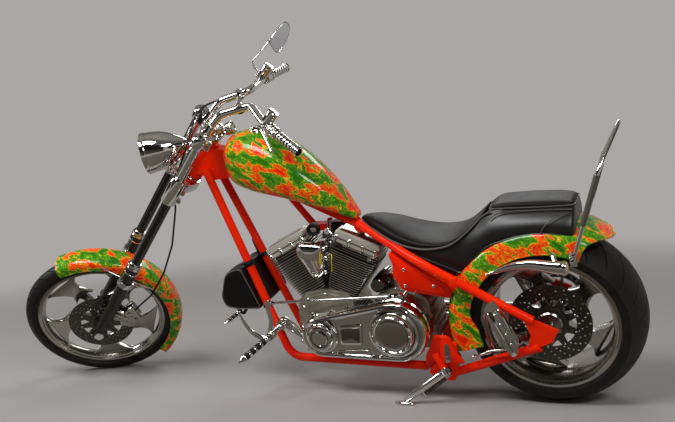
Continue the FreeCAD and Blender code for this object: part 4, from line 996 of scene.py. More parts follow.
chromed(case_bolts, "crankcase_bolts")
cam = turned([(97, 80), (97, 96), (94, 102), (84, 107), (76, 108), (74, 104), (68, 104), (66, 110),
              (58, 115), (20, 118), (0.5, 118)], CRANK + V((0, 0, 20)), RIGHT, 64)
chromed(cam, "cam_cover")
bolts("cam_cover_screws", "frame", CRANK + V((0, -107, 20)), RIGHT, 8, 84, 4.5)
lifters = [brick(CRANK.x + side * 46 - 34, CRANK.x + side * 46 + 34, -112, -84, 40, 70, 5)
           for side in (1, -1)]
chromed(lifters, "lifter_blocks")

# intake between the cylinders, its air cleaner on the right and the shield cover on the left
INTAKE = V((865, 0, 262))
ports = flowing([(812, -4, 268), (838, -14, 266), INTAKE + V((0, -26, 0)), (892, -14, 266), (918, -4, 268)],
                5)
throat = turned([(24, 24), (24, 42), (29, 44), (29, 86), (25, 88), (25, 128)], INTAKE, RIGHT, 32)
make([bar(ports, 19, 18), throat], "intake_and_carburettor", "frame", "polished", "")
plates = turned([(30, 126), (78, 127), (79, 130), (79, 133), (74, 135), (30, 135)], INTAKE, RIGHT, 64)
lid = turned([(69, 166), (77, 166), (79, 169), (78, 173), (70, 178), (50, 182), (20, 184), (0.5, 184)],
             INTAKE, RIGHT, 64)
chromed(plates + lid, "air_cleaner_covers", "frame", "air_cleaner", 40)
pleats = [(2 * pi * k / 120, 66 + 3.5 * (1 if k % 2 else -1)) for k in range(120)]
folds = [[INTAKE + V((r * cos(a), -h, r * sin(a))) for a, r in pleats] for h in (134, 167)]
make(Form().rings(folds), "air_filter_folds", "frame", "rubber", "", 20)
bolts("air_cleaner_screws", "frame", INTAKE + V((0, -181, 0)), RIGHT, 3, 44, 5)

SHIELD = [(958, 282), (950, 310), (934, 331), (900, 327), (838, 321), (838, 280), (844, 214), (868, 186),
          (896, 178)]
middle = V((895, 262))
layers = []
for y, inset in ((84, 5), (88, 0), (96, 0), (98, 3), (104, 3), (108, 5), (113, 11), (118, 22), (121, 38),
                 (123, 58)):
    outline = rounded(SHIELD, 26, 4)
    drawn_in = [p + (middle - p).normalized() * inset for p in outline]
    layers.append([V((p.x, y, p.y)) for p in drawn_in])
chromed(Form().rings(layers) + brick(846, 884, 24, 88, 300, 320, 3), "shield_horn_cover", "frame",
        "horn_cover", 40)
ribs = [bar(flowing([(852 + 6 * k, 112, 206 - 5 * k), (862 + 8 * k, 121 - k, 236 - 3 * k),
                     (868 + 9 * k, 119, 268)], 4), [2.5, 4, 4, 4, 4, 4, 4, 4, 2], 8) for k in range(3)]
lugs = [turned([(8, 0), (8, 8), (5, 11), (0.5, 12)], (x, 92, z), (-0.3, 1, 0), 16)
        for x, z in ((835, 300), (833, 262), (846, 204))]
chromed(ribs + lugs, "shield_cover_trim")

# key switch, fuel tap and coil under the tank
switch = [ring_of([(16, 40), (24, 40), (26, 44), (26, 66), (23, 70), (19, 70), (17, 66)], (884, 0, 368),
                  LEFT, 36), turned([(16, 40), (16, 60), (8, 64), (0.5, 64)], (884, 0, 368), LEFT, 24, 1),
          rod((884, 10, 368), (884, 42, 368), 13)]
make(switch, "key_switch", "frame", "rubber chrome", "")
tap = [rod((826, 22, 392), (826, 40, 352), 9),
       turned([(11, -14), (11, 14)], (828, 42, 356), (0, 1, 0.2), 20),
       hexagon((824, 18, 396), (0, -0.4, -1), 13, 8),
       bar([(828, 54, 358), (812, 66, 362), (798, 70, 352)], 4, 10),
       turned([(9, 0), (9, 18), (6, 22)], (804, 50, 342), (-0.3, 0.4, -1), 16)]
chromed(tap, "fuel_tap")
make(brick(780, 850, -46, -14, 336, 374, 5) + rod((800, -30, 330), (800, -30, 340), 8)
     + rod((830, -30, 330), (830, -30, 340), 8), "ignition_coil", "frame", "rubber", "")
tags = [bar([(x0, 121, z0), (x0 * 0.5 + x1 * 0.5, 124, z0 * 0.5 + z1 * 0.5), (x1, 122, z1)], 6.5, 8,
            flat=0.22, up=(0, 0.05, 1)) for x0, z0, x1, z1 in ((792, 286, 802, 219), (834, 286, 846, 243))]
make(tags, "yellow_service_tags", "frame", "yellow", "")


# ---------------------------------------------------------------- gearbox and primary drive
BOX = [(440, -116), (664, -116), (664, 84), (636, 108), (466, 108), (438, 80)]
gearbox = [plate(BOX, -104, 90, 18, 8), plate([(480, 96), (628, 96), (628, 114), (480, 114)], -80, 66, 6, 4)]
gearbox += [plate([(434, z), (446, z), (446, z + 10), (434, z + 10)], -92, 78, 0, 2)
            for z in (-84, -52, -20, 12, 44, 76)]
make(gearbox, "gearbox_case", "frame", "cast", "", 34)
bolts("gearbox_lid_screws", "frame", (554, 20, 113), UP, 8, 40, 4.5)
starter = turned([(0.5, -60), (24, -58), (30, -52), (30, 60), (26, 66), (26, 88)], (640, 0, 140), LEFT, 36)
make(starter + turned([(14, -50), (16, -46), (16, 40), (13, 44)], (606, 10, 150), LEFT, 24),
     "starter_motor", "frame", "dark_chrome", "")


def two_arcs(c1, r1, c2, r2, arc):
    """Where a band lies on two round wheels: the points along each, in order."""
    d = c2 - c1
    base, off = atan2(d.y, d.x), acos((r1 - r2) / d.length)
    return [[c + V((cos(a), sin(a))) * r for a in (start + sweep * k / arc for k in range(arc + 1))]
            for c, r, start, sweep in ((c1, r1, base + off, 2 * pi - 2 * off), (c2, r2, base - off, 2 * off))]


def around_belt(r1, r2, inset=0.0, run=5):
    """The outline of a band round the crank's and the clutch's circles, with as many points for any inset."""
    first, second = two_arcs(V((CRANK.x, CRANK.z)), r1 - inset, V((CLUTCH.x, CLUTCH.z)), r2 - inset, 22)
    there = [first[-1].lerp(second[0], k / run) for k in range(1, run)]
    return first + there + second + [second[-1].lerp(first[0], k / run) for k in range(1, run)]


PRIMARY_RIM = [(0, 92), (0, 146), (3, 149), (3, 156), (0, 159), (0, 182), (2.5, 190), (7, 194.5), (12, 196),
               (17, 194), (20, 188), (22, 182), (28, 180)]
rim = Form().rings([[V((p.x, y, p.y)) for p in around_belt(84, 121, inset)] for inset, y in PRIMARY_RIM])
panel = plate([(688, 20), (786, 10), (786, -64), (698, -62)], 178, 188, 9, 2.5)
recess = plate([(696, 11), (778, 2), (778, -56), (704, -54)], 187, 190, 6, 1.2, 1)
lower_lip = plate([(674, -84), (800, -90), (806, -96), (668, -104)], 178, 187, 6, 3)
make([rim, panel, recess, lower_lip], "primary_drive_cover", "frame", "chrome dark_chrome", "primary_cover",
     30)
FRONT_BOSS = [(69, 178), (69, 189), (66, 195), (61, 197.5), (57, 197), (55, 199), (54, 208), (51, 214),
              (45, 217), (40, 216), (37, 211), (36, 206), (34, 206)]
front_boss = turned(FRONT_BOSS + [(33, 207), (32, 213), (28, 216.5), (14, 217.5), (0.5, 218)],
                    (CRANK.x - 4, 0, CRANK.z + 6), LEFT, 56)
chromed(front_boss, "primary_front_boss", smooth=30)
bolts("primary_front_bolts", "frame", (CRANK.x - 4, 212, CRANK.z + 6), LEFT, 5, 47.5, 4.4)
REAR_BEAD = [(101, 178), (101, 188), (98, 193.5), (92, 196), (87, 194), (85, 190), (84, 196), (83, 206),
             (81, 214), (76, 219.5), (70, 221), (66, 218), (64, 215)]
chromed(turned(REAR_BEAD + [(63, 214)], (CLUTCH.x + 8, 0, CLUTCH.z), LEFT, 72), "clutch_cover_ring",
        smooth=30)
dome = turned([(64, 213), (63, 216), (58, 218.5), (46, 220.5), (26, 221.8), (0.5, 222.3)],
              (CLUTCH.x + 8, 0, CLUTCH.z), LEFT, 64)
make(dome, "clutch_cover_dome", "frame", "polished", "", 40)
bolts("clutch_cover_bolts", "frame", (CLUTCH.x + 8, 219.5, CLUTCH.z), LEFT, 6, 73, 4.4)
rim_bolts = []
for x, z in ((905, 46), (820, 58), (751, 68), (670, 86), (600, 100), (470, 66), (470, -92), (930, -90),
             (800, -116), (680, -120)):
    rim_bolts.append(hexagon((x, 158, z), LEFT, 5.5, 30)
                     + turned([(8.5, 148), (8.5, 158)], (x, 0, z), LEFT, 20))
chromed(rim_bolts, "primary_case_bolts")
lever = [bar([(508, 196, 149), (512, 168, 136), (520, 150, 118)], 7, 12),
         rod((520, 80, 118), (520, 156, 118), 9), turned([(11, -8), (11, 8)], (508, 200, 149), LEFT, 20)]
shift = [bar([(1062, 200, 116), (900, 203, 127), (720, 203, 137), (530, 200, 147)], 5.5, 14)]
for x, z in ((1066, 116), (508, 149)):
    shift.append(ring_of([(5, -7), (11, -6), (12.5, 0), (11, 6), (5, 7)], (x, 202, z), LEFT, 24))
    shift.append(hexagon((x, 194, z), LEFT, 6.5, 16))
shift += [hexagon((1046, 201, 117), (-1, 0, 0.06), 8, 14), hexagon((540, 201, 146.5), (1, 0, -0.06), 8, 14)]
chromed(lever + shift, "gear_shift_rod")

# toothed belt and its pulleys on the right
PULLEY_R, SPROCKET_R, TOOTH_STEP = 92.0, 48.0, 10.5


def belt_loop():
    """Points round the rear pulley and the gearbox sprocket, a tooth or a gap apart."""
    full, out = [], sum(two_arcs(V((0, 0)), PULLEY_R, V((CLUTCH.x, CLUTCH.z)), SPROCKET_R, 24), [])
    for p, q in zip(out, out[1:] + out[:1]):
        pieces = max(1, int((q - p).length / TOOTH_STEP))
        full += [p.lerp(q, k / pieces) for k in range(pieces)]
    return full


loop = belt_loop()
belt_rings = []
for k, p in enumerate(loop):
    way = (loop[(k + 1) % len(loop)] - loop[k - 1]).normalized()
    out = V((way.y, -way.x))
    tooth = 0.6 if k % 2 else 3.6
    low, high = p + out * (0.4 + 3.6 - tooth), p + out * 7.6
    belt_rings.append([V((low.x, -159.5, low.y)), V((high.x, -159.5, high.y)), V((high.x, -143, high.y)),
                       V((low.x, -143, low.y))])
make(Form().rings(belt_rings, loop=True), "toothed_drive_belt", "frame", "rubber", "drive_belt", 30)
sprocket = [ring_of([(20, 141), (50, 141), (50, 143), (47, 143.5), (47, 159), (50, 159.5), (50, 161.5),
                     (20, 161.5)], (CLUTCH.x, 0, CLUTCH.z), RIGHT, 56),
            rod((CLUTCH.x, -100, CLUTCH.z), (CLUTCH.x, -160, CLUTCH.z), 19)]
make(sprocket, "gearbox_sprocket", "frame", "polished", "transmission", 30)
spokes = [plate([(24, -9), (84, -6), (84, 6), (24, 9)], -157, -145, 3,
                1.5).moved(Matrix.Rotation(2 * pi * k / 7, 4, "Y")) for k in range(7)]
rear_pulley = [ring_of([(79, 143), (91, 143), (91, 159.5), (79, 159.5)], (0, 0, 0), RIGHT, 72),
               ring_of([(12.8, 142.6), (30, 142.6), (30, 160), (12.8, 160)], (0, 0, 0), RIGHT, 40)]
make(rear_pulley + spokes, "spoked_rear_pulley", "rear_wheel", "polished", "rear_pulley", 30)


# ---------------------------------------------------------------- forks
def level_plate(outline, z0, z1, radius, edge):
    """A plate whose outline is seen from above: (ahead, left)."""
    lay = Matrix(((1, 0, 0, 0), (0, 0, -1, 0), (0, 1, 0, 0), (0, 0, 0, 1)))
    return plate([(u, -y) for u, y in outline], z0, z1, radius, edge).moved(lay)


HEAD_LOW = 901.0
LOW_CLAMP, LOW_COLLAR, TOP_CLAMP = (852, 896), (804, 930), (1094, 1138)
FORK_TOP, LEG_R = 1146, 21.0
SLIDER = [(0.5, -34), (16, -34), (20, -32), (22, -28), (22, -24), (27, -22), (29, -18), (29, 60), (28, 70),
          (28, 392), (29, 396), (29, 412), (27, 416), (27, 424), (21.5, 424)]
COLLAR = [(24, 414), (30, 416), (32.5, 420), (32.5, 426), (30, 429), (30, 433), (31.5, 436), (31.5, 440),
          (28, 446), (25, 449), (21, 450)]
for s, side in SIDES:
    foot = V((FORK_OFFSET, s * LEG_Y, 0))
    low_tube = turned([(LEG_R, 424), (LEG_R, 806)], foot, UP, 40, 1)
    high_tube = turned([(LEG_R, 806), (LEG_R, FORK_TOP - 4)], foot, UP, 40, 2)
    axle_boss = turned(two_sided([(29.5, -31), (31.5, -29), (31.5, -18), (29, -16)]), foot, LEFT, 40)
    pinch = brick(FORK_OFFSET + 22, FORK_OFFSET + 40, s * LEG_Y - 9, s * LEG_Y + 9, -26, -8, 3)
    leg = [turned(SLIDER, foot, UP, 40), low_tube, high_tube, axle_boss, pinch]
    make(leg, side + "_fork_leg", "steering", "slider smoked chrome", "fork_leg_" + side, 34)
    bright = [turned(COLLAR, foot, UP, 16),
              ring_of([(29, 388), (30.5, 389), (30.5, 393), (29, 394)], foot, UP, 40),
              turned([(21, FORK_TOP - 6), (25, FORK_TOP - 6), (25, FORK_TOP), (21, FORK_TOP + 3),
                      (0.5, FORK_TOP + 3)], foot, UP, 36),
              hexagon(foot + V((0, 0, FORK_TOP + 2)), UP, 15, 8),
              hexagon((FORK_OFFSET + 38, s * LEG_Y, -17), AHEAD, 6, 5),
              turned([(21, 30), (21, 36), (17, 39), (0.5, 40)], foot, (0, s, 0), 36)]
    chromed(bright, side + "_fork_collars", "steering", smooth=25)

spindle = [turned([(10, -152), (10, 152)], FORK_AXLE, LEFT, 24)]
spindle += [hexagon((FORK_OFFSET, s * 144, 0), (0, s, 0), 16, 9) for s in (1, -1)]
chromed(spindle, "front_spindle", "steering", "front_axle")


def clamp(bridge, collar, back, front, name, node):
    """A triple clamp: a waisted bridge, split collars round the legs and their pinch bolts."""
    wide = LEG_Y + 6
    half = [(-back, 22), (-back * 0.72, 40), (-6, 66), (FORK_OFFSET - 34, wide - 12),
            (FORK_OFFSET + 26, wide - 8), (front + 8, 70), (front, 40), (front, 18)]
    form = level_plate([(u, y) for u, y in half] + [(u, -y) for u, y in reversed(half)], *bridge, 8, 4)
    screws = []
    for s in (1, -1):
        leg = V((FORK_OFFSET, s * LEG_Y, 0))
        low, high = collar
        form = form + ring_of([(LEG_R, low), (30, low), (32, low + 3), (32, high - 3), (30, high),
                               (LEG_R, high)], leg, UP, 40)
        count = 3 if high - low > 100 else 2
        for k in range(count):
            t = low + (high - low) * (k + 0.5) / count
            form = form + brick(FORK_OFFSET - 46, FORK_OFFSET - 26,
                                *sorted((s * (LEG_Y - 14), s * (LEG_Y + 10))), t - 9, t + 9, 3)
            screws.append(hexagon((FORK_OFFSET - 37, s * (LEG_Y + 9), t), (0, s, 0), 6, 7))
    chromed(form, name, "steering", node, 34)
    return screws


screws = clamp(LOW_CLAMP, LOW_COLLAR, 34, 46, "lower_triple_clamp", "lower_clamp")
screws += clamp(TOP_CLAMP, TOP_CLAMP, 28, 60, "upper_triple_clamp", "top_clamp")
screws.append(turned([(24, 1138), (24, 1144), (20, 1150), (19, 1158), (14, 1164), (0.5, 1166)], (0, 0, 0),
                     UP, 32))
stem = rod((0, 0, HEAD_LOW - 6), (0, 0, TOP_CLAMP[0] + 2), 16.5)
cups = [turned([(24, 896.5), (31, 897), (33, 899), (33, 900.5), (24, 900.5)], (0, 0, 0), UP, 40),
        turned([(24, 1089.5), (33, 1090), (33, 1092), (30, 1093.5), (24, 1093.5)], (0, 0, 0), UP, 40)]
chromed(screws + [stem] + cups, "clamp_bolts_and_stem", "steering", smooth=30)

# ---------------------------------------------------------------- headlight
LAMP, LAMP_WAY = V((217, 0, 913)), V((-cos(radians(40.7)), 0, sin(radians(40.7))))
shell = turned([(78, 13), (84, 15), (83.5, 34), (81, 54), (77, 74), (71, 92), (63, 110), (53, 128), (42, 145),
                (31, 161), (20, 176), (11, 188), (5, 196), (0.5, 200)], LAMP, LAMP_WAY, 64)
rim_ring = ring_of([(76, -4), (84.5, -5), (86, -3.5), (86, 12), (84, 15), (80, 17), (76, 14)], LAMP,
                   LAMP_WAY, 64)
chromed([shell, rim_ring], "bullet_headlight", "steering", "headlight", 34)
bowl = turned([(75, -1), (70, 12), (58, 26), (40, 38), (20, 44), (0.5, 45)], LAMP, LAMP_WAY, 56)
make(bowl + turned([(15, 20), (17, 24), (17, 44)], LAMP, LAMP_WAY, 24), "headlight_reflector", "steering",
     "mirror", "")
lens_rings = [(0.5, -12), (20, -11.4), (40, -9.4), (58, -6), (72, -1), (76, 3)]
make(turned(lens_rings + [(76, 6), (70, 3), (40, -5), (0.5, -8)], LAMP, LAMP_WAY, 56), "headlight_lens",
     "steering", "glass", "")
arms = [bar([(44, s * 20, 874), (84, s * 26, 884), (118, s * 24, 912), (140, s * 12, 930)], [9, 9, 8, 7],
            14) for s in (1, -1)]
arms.append(brick(36, 70, -36, 36, 864, 886, 4))
arms.append(turned([(16, -30), (16, 30)], (140, 0, 930), LEFT, 28))
arms += [hexagon((140, s * 30, 930), (0, s, 0), 9, 7) for s in (1, -1)]
chromed(arms, "headlight_bracket", "steering")

# ---------------------------------------------------------------- bars and controls
BAR_R = 16.0
BAR_PATH = [V(p) for p in ((48, 56, 1138), (34, 56, 1236), (-54, 64, 1328), (-103, 184, 1336),
                           (-220, 352, 1368))]
left_bar = bar(bent(BAR_PATH, [60, 44, 90], 4), BAR_R, 28)
cross = bar([(-22, -58, 1294), (-22, 58, 1294)], 12, 20)
chromed([left_bar, mirrored(left_bar), cross], "handlebar_tubes", "steering", "handlebar", 34)
risers = []
for s in (1, -1):
    risers.append(turned([(26, 0), (26, 10), (23, 14), (22, 34), (20, 40), (16.5, 41)], (48, s * 56, 1138),
                         (-0.14, 0, 1), 36))
    risers.append(ring_of([(16.2, -14), (20, -13), (22, -9), (22, 9), (20, 13), (16.2, 14)],
                          (-22, s * 58, 1294), LEFT, 28))
chromed(risers, "bar_risers", "steering")

root, end = BAR_PATH[-2], BAR_PATH[-1]
out = (end - root).normalized()
GRIP_LONG = (end - root).length - 4 - 78


def hand_side(flip, side, node):
    """Grip, lever perch, lever, fluid reservoir and switch box of one side."""
    pitch = (GRIP_LONG - 22) / 6
    grip = turned([(17, 78), (19.5, 79), (19.5, 84), (18, 86)], root, out, 36)
    for k in range(6):
        low = 90 + k * pitch
        grip += turned([(17, low), (18.6, low + 1.5), (19.4, low + 0.45 * pitch), (18.6, low + 0.72 * pitch),
                        (17, low + 0.76 * pitch)], root, out, 36)
    grip += turned([(17.4, 84), (17.4, 78 + GRIP_LONG - 8)], root, out, 32, 1)
    make(flip(grip), side + "_banded_grip", "steering", "chrome rubber", node, 34)
    cap = turned([(17, 74 + GRIP_LONG - 6), (20.5, 74 + GRIP_LONG - 4), (20.5, 74 + GRIP_LONG + 2),
                  (17, 78 + GRIP_LONG)], root, out, 36)
    perch = turned([(17, 26), (24, 27), (25, 31), (25, 52), (22, 55), (22, 60), (17, 61)], root, out, 36)
    box = turned([(17, 61), (23, 62), (24, 64), (24, 76), (22, 78), (17, 78)], root, out, 30)
    bowl_at = V((-104, 196, 1350))
    tilt = V((-4, 0, 56))
    tank = turned([(14, -6), (20, -2), (22, 4), (22, 44), (24, 46), (24, 52), (21, 55), (8, 56.5),
                   (0.5, 57)], bowl_at, tilt, 36)
    blade = flowing([(-116, 206, 1342), (-90, 214, 1341), (-96, 248, 1334), (-114, 290, 1327),
                     (-133, 332, 1319)], 6)
    radii = [7 - 2.2 * k / (len(blade) - 1) for k in range(len(blade))]
    lever = bar(blade, radii, 14, flat=0.7)
    lever += turned([(0.5, -8), (5, -6.5), (8, 0), (5, 6.5), (0.5, 8)], blade[-1], LEFT, 20)
    pivot = [rod((-92, 213, 1328), (-92, 213, 1352), 9), hexagon((-92, 213, 1352), UP, 6, 4),
             brick(-112, -84, 198, 224, 1331, 1349, 4), hexagon(bowl_at + V((6, 10, 55)), UP, 3, 3),
             hexagon(bowl_at + V((-12, -9, 55.6)), UP, 3, 3)]
    knobs = [turned([(5, 0), (5, 5), (3, 6.5)], root + out * d + V((18, 0, -16)) * 0.9, (0.7, 0, -0.6), 14)
             for d in (66, 73)]
    chromed(flip(joined([cap, perch, box, tank, lever] + pivot + knobs)), side + "_lever_and_reservoir",
            "steering", smooth=34)


hand_side(lambda f: f, "left", "left_control")
hand_side(mirrored, "right", "right_control")

gauge_at, gauge_way = V((-34, 0, 1160)), V((-0.62, 0, 0.78))
chromed(turned([(6, -26), (16, -22), (24, -10), (27, 0), (27, 16), (29, 18), (29, 24), (26, 26), (25, 22)],
               gauge_at, gauge_way, 40) + bar([(-6, 0, 1138), (-14, 0, 1142), (-22, 0, 1146)], 8, 12),
        "small_speedometer", "steering")
make(turned([(25, 21.5), (0.5, 21.5)], gauge_at, gauge_way, 40), "speedometer_dial", "steering", "dial", "")

MIRROR, LONG_WAY, FACE_WAY = V((-111, -310, 1493)), V((-0.112, -0.463, 0.879)), V((-0.277, 0.864, 0.42))
stand = facing(MIRROR, FACE_WAY, LONG_WAY)
MIRROR_OUTLINE = [(74, 8), (70, -16), (52, -31), (18, -40), (-20, -40), (-60, -32), (-61, -14), (-54, 6),
                  (-42, 28), (-20, 32), (6, 29), (46, 20)]


def teardrop(scale, height):
    middle = V((4, -5))
    return [V((*(middle + (p - middle) * scale), height)) for p in rounded(MIRROR_OUTLINE, 13, 3)]


MIRROR_BACK = ((0.25, -8), (0.55, -6.5), (0.8, -3.5), (0.94, 0.5), (1.0, 5), (1.0, 8), (0.965, 9.5),
               (0.93, 8.6))
back = Form().rings([teardrop(s, h) for s, h in MIRROR_BACK])
mirror_lug = stand @ V((-36, 24, -6))
stem = bar(flowing([(-106, -222, 1356), (-78, -226, 1352), (-54, -233, 1366), (-50, -242, 1386),
                    (-66, -268, 1422), mirror_lug], 7), 4.4, 12)
nuts = [hexagon((-106, -222, 1346), (0.2, 0, 1), 8, 9),
        turned([(7, -5), (8, 0), (7, 5)], mirror_lug, FACE_WAY, 18)]
chromed([back.moved(stand), stem] + nuts, "teardrop_mirror_shell", "steering", "mirror", 40)
make(Form().rings([teardrop(0.935, 8.4), teardrop(0.93, 9.0)]).moved(stand), "mirror_glass", "steering",
     "mirror", "", 20)


# ---------------------------------------------------------------- brakes
def caliper(outline, inner, outer, gap, name, body, node, pistons):
    """Two bolted halves round the disc, with round piston covers."""
    halves = [plate(outline, *span, 9, 4) for span in (inner, outer)]
    far = max(outline, key=lambda p: hypot(p[0] - gap[0], p[1] - gap[1]))
    covers = [turned([(15, 0), (17, 1), (17, 4), (14, 6), (10, 6), (9, 4), (0.5, 4)], (x, outer[1] - 1, z),
                     LEFT, 30) for x, z in pistons]
    covers += [hexagon((far[0] * 0.88 + gap[0] * 0.12, outer[1], far[1] * 0.88 + gap[1] * 0.12), LEFT, 7, 6)]
    make(halves + covers, name, body, "polished", node, 34)


caliper([(20, 92), (-16, 170), (-78, 120), (-66, 52), (-10, 40)], (34, 50), (62, 84), (FORK_OFFSET, 0),
        "front_brake_caliper", "steering", "front_caliper", ((-14, 86), (-28, 122)))
make([brick(-4, 60, 66, 105, 84, 120, 5), hexagon((30, 104, 102), LEFT, 8, 7),
      hexagon((12, 104, 96), LEFT, 6, 6)], "front_caliper_mount", "steering", "polished", "")
caliper([(150, -40), (78, -20), (60, -74), (118, -118)], (78, 86), (99, 128), (0, 0), "rear_brake_caliper",
        "frame", "rear_caliper", ((112, -56), (98, -84)))
make(plate([(110, -30), (78, -22), (-18, 14), (-18, -18), (20, -26)], 114, 127, 6, 2), "rear_caliper_arm",
     "frame", "polished", "")


# ---------------------------------------------------------------- tool bag in front of the downtubes
BAG_ENDS, BAG_STRAPS = (-150.0, 108.0), (-92.0, 52.0)
BAG_OUTLINE = [(1344, 98), (1311, 197), (1269, 223), (1219, 230), (1159, 46), (1271, 42), (1329, 52)]


def bag_ring(y, inset=0.0, lift=0.0):
    """The bag's outline at one place across it: it hangs between its straps and is drawn in under them."""
    near = min(abs(y - s) for s in BAG_STRAPS)
    slack = 1.0 - 0.5 ** (near / 22.0)
    flat = rounded(BAG_OUTLINE, 20, 6)
    middle = sum(flat, V((0, 0))) / len(flat)
    ring = []
    for p in flat:
        out = (p - middle).normalized()
        drawn_in = 3.0 * (1 - slack) if out.y < 0.6 else 1.0
        drop = 3.5 * slack * max(0.0, -out.y) - 2.5 * slack * max(0.0, out.y) - drawn_in
        p = p + out * (drop + lift) - (p - middle).normalized() * inset
        ring.append(V((p.x, y, p.y)))
    return ring


low, high = BAG_ENDS
stations = [(low + 1, 26), (low + 1, 16), (low + 3, 7), (low + 8, 2)]
stations += [(y, 0) for y in range(-138, 97, 9)]
stations += [(high - 8, 2), (high - 3, 7), (high - 1, 16), (high - 1, 26)]
make(Form().rings([bag_ring(y, inset) for y, inset in stations]), "hanging_tool_bag", "frame", "bag",
     "tool_bag", 50)
binding = [bar(bag_ring(y, 6), 2.6, 8, 0, loop=True) for y in (low + 3, high - 3)]
make(binding, "tool_bag_binding", "frame", "piping_and_painted_highlight", "", 60)
webbing = []
for y in BAG_STRAPS:
    edges = [(y - 10, -1.0), (y - 10, 1.8), (y + 10, 1.8), (y + 10, -1.0)]
    rings = list(zip(*[bag_ring(at, 0, lift) for at, lift in edges]))
    webbing.append(Form().rings(rings, loop=True))
    webbing.append(bar(bent([(1296, y, 50), (1302, y, 14), (1286, y, -2), (1268, y, 20), (1266, y, 46)],
                            [14, 12, 14], 4), 7, 10, 0, 0.3, up=LEFT))
make(webbing, "tool_bag_straps", "frame", "rubber", "", 60)
BUCKLE = ((1305, 1, 33), (1305, -1, 33), (1299, -1, 8), (1299, 1, 8))
buckles = []
for y in BAG_STRAPS:
    frame_line = [(x, y + s * 14, z) for x, s, z in BUCKLE]
    buckles.append(bar(bent(frame_line + frame_line[:1], [4, 4, 4], 2), 1.8, 8))
    buckles.append(rod((1303, y - 13, 21), (1303, y + 13, 21), 1.5, 0, 10))
make(buckles, "tool_bag_buckles", "frame", "dark_chrome", "", 60)


# ---------------------------------------------------------------- clips on the downtubes
def on_downtube(z, side=1):
    """A place on a downtube's centre line, and the way the tube runs."""
    top, foot = V((1330, side * 44, 640.2)), V((1105.2, side * 84, -60))
    way = (foot - top).normalized()
    return top + way * ((top.z - z) / -way.z), way


bands = []
for z, side, half, radius in ((238, 1, 9, 21.5), (228, 1, 5, 20.0), (52, 1, 6, 20.5), (230, -1, 9, 21.5)):
    centre, way = on_downtube(z, side)
    bands.append(ring_of(two_sided([(17.2, -half), (radius - 1.5, -half), (radius, 1.5 - half)]), centre,
                         way, 32))
(guard_top, way), (guard_foot, way) = on_downtube(302, -1), on_downtube(178, -1)
ahead = way.cross(V((0, 1, 0)))
ahead = ahead * (19.0 if ahead.x > 0 else -19.0)
bands.append(bar([guard_top + ahead, (guard_top + guard_foot) * 0.5 + ahead * 1.1, guard_foot + ahead],
                 [6, 9, 9], 14))
make(bands, "downtube_rubber_bands", "frame", "rubber", "", 50)


# ---------------------------------------------------------------- forward foot controls
def grooved_peg(root, tip, radius, bands, point):
    """A turned peg: metal and rubber rings by turns, and a pointed cap."""
    root, tip = V(root), V(tip)
    way, length = (tip - root).normalized(), (tip - root).length
    body, pitch = [], (length - point - 12) / bands
    body.append(turned([(0.8 * radius, 0), (radius, 2), (radius, 10), (0.8 * radius, 12)], root, way, 28))
    for k in range(bands):
        start = 12 + k * pitch
        metal = [(0.72 * radius, 0), (0.98 * radius, 0.04 * pitch), (radius, 0.12 * pitch),
                 (radius, 0.3 * pitch), (0.98 * radius, 0.38 * pitch), (0.72 * radius, 0.42 * pitch)]
        rubber = [(0.72 * radius, 0.42 * pitch), (0.9 * radius, 0.46 * pitch), (0.9 * radius, 0.96 * pitch),
                  (0.72 * radius, pitch)]
        body += [turned([(r, start + h) for r, h in line], root, way, 28, mark)
                 for mark, line in enumerate((metal, rubber))]
    cap = length - point
    body.append(turned([(0.75 * radius, cap), (1.08 * radius, cap + 1.5), (1.12 * radius, cap + 0.16 * point),
                        (0.95 * radius, cap + 0.3 * point), (0.55 * radius, cap + 0.62 * point),
                        (0.14 * radius, cap + 0.97 * point), (0.02, length)], root, way, 28))
    return joined(body)


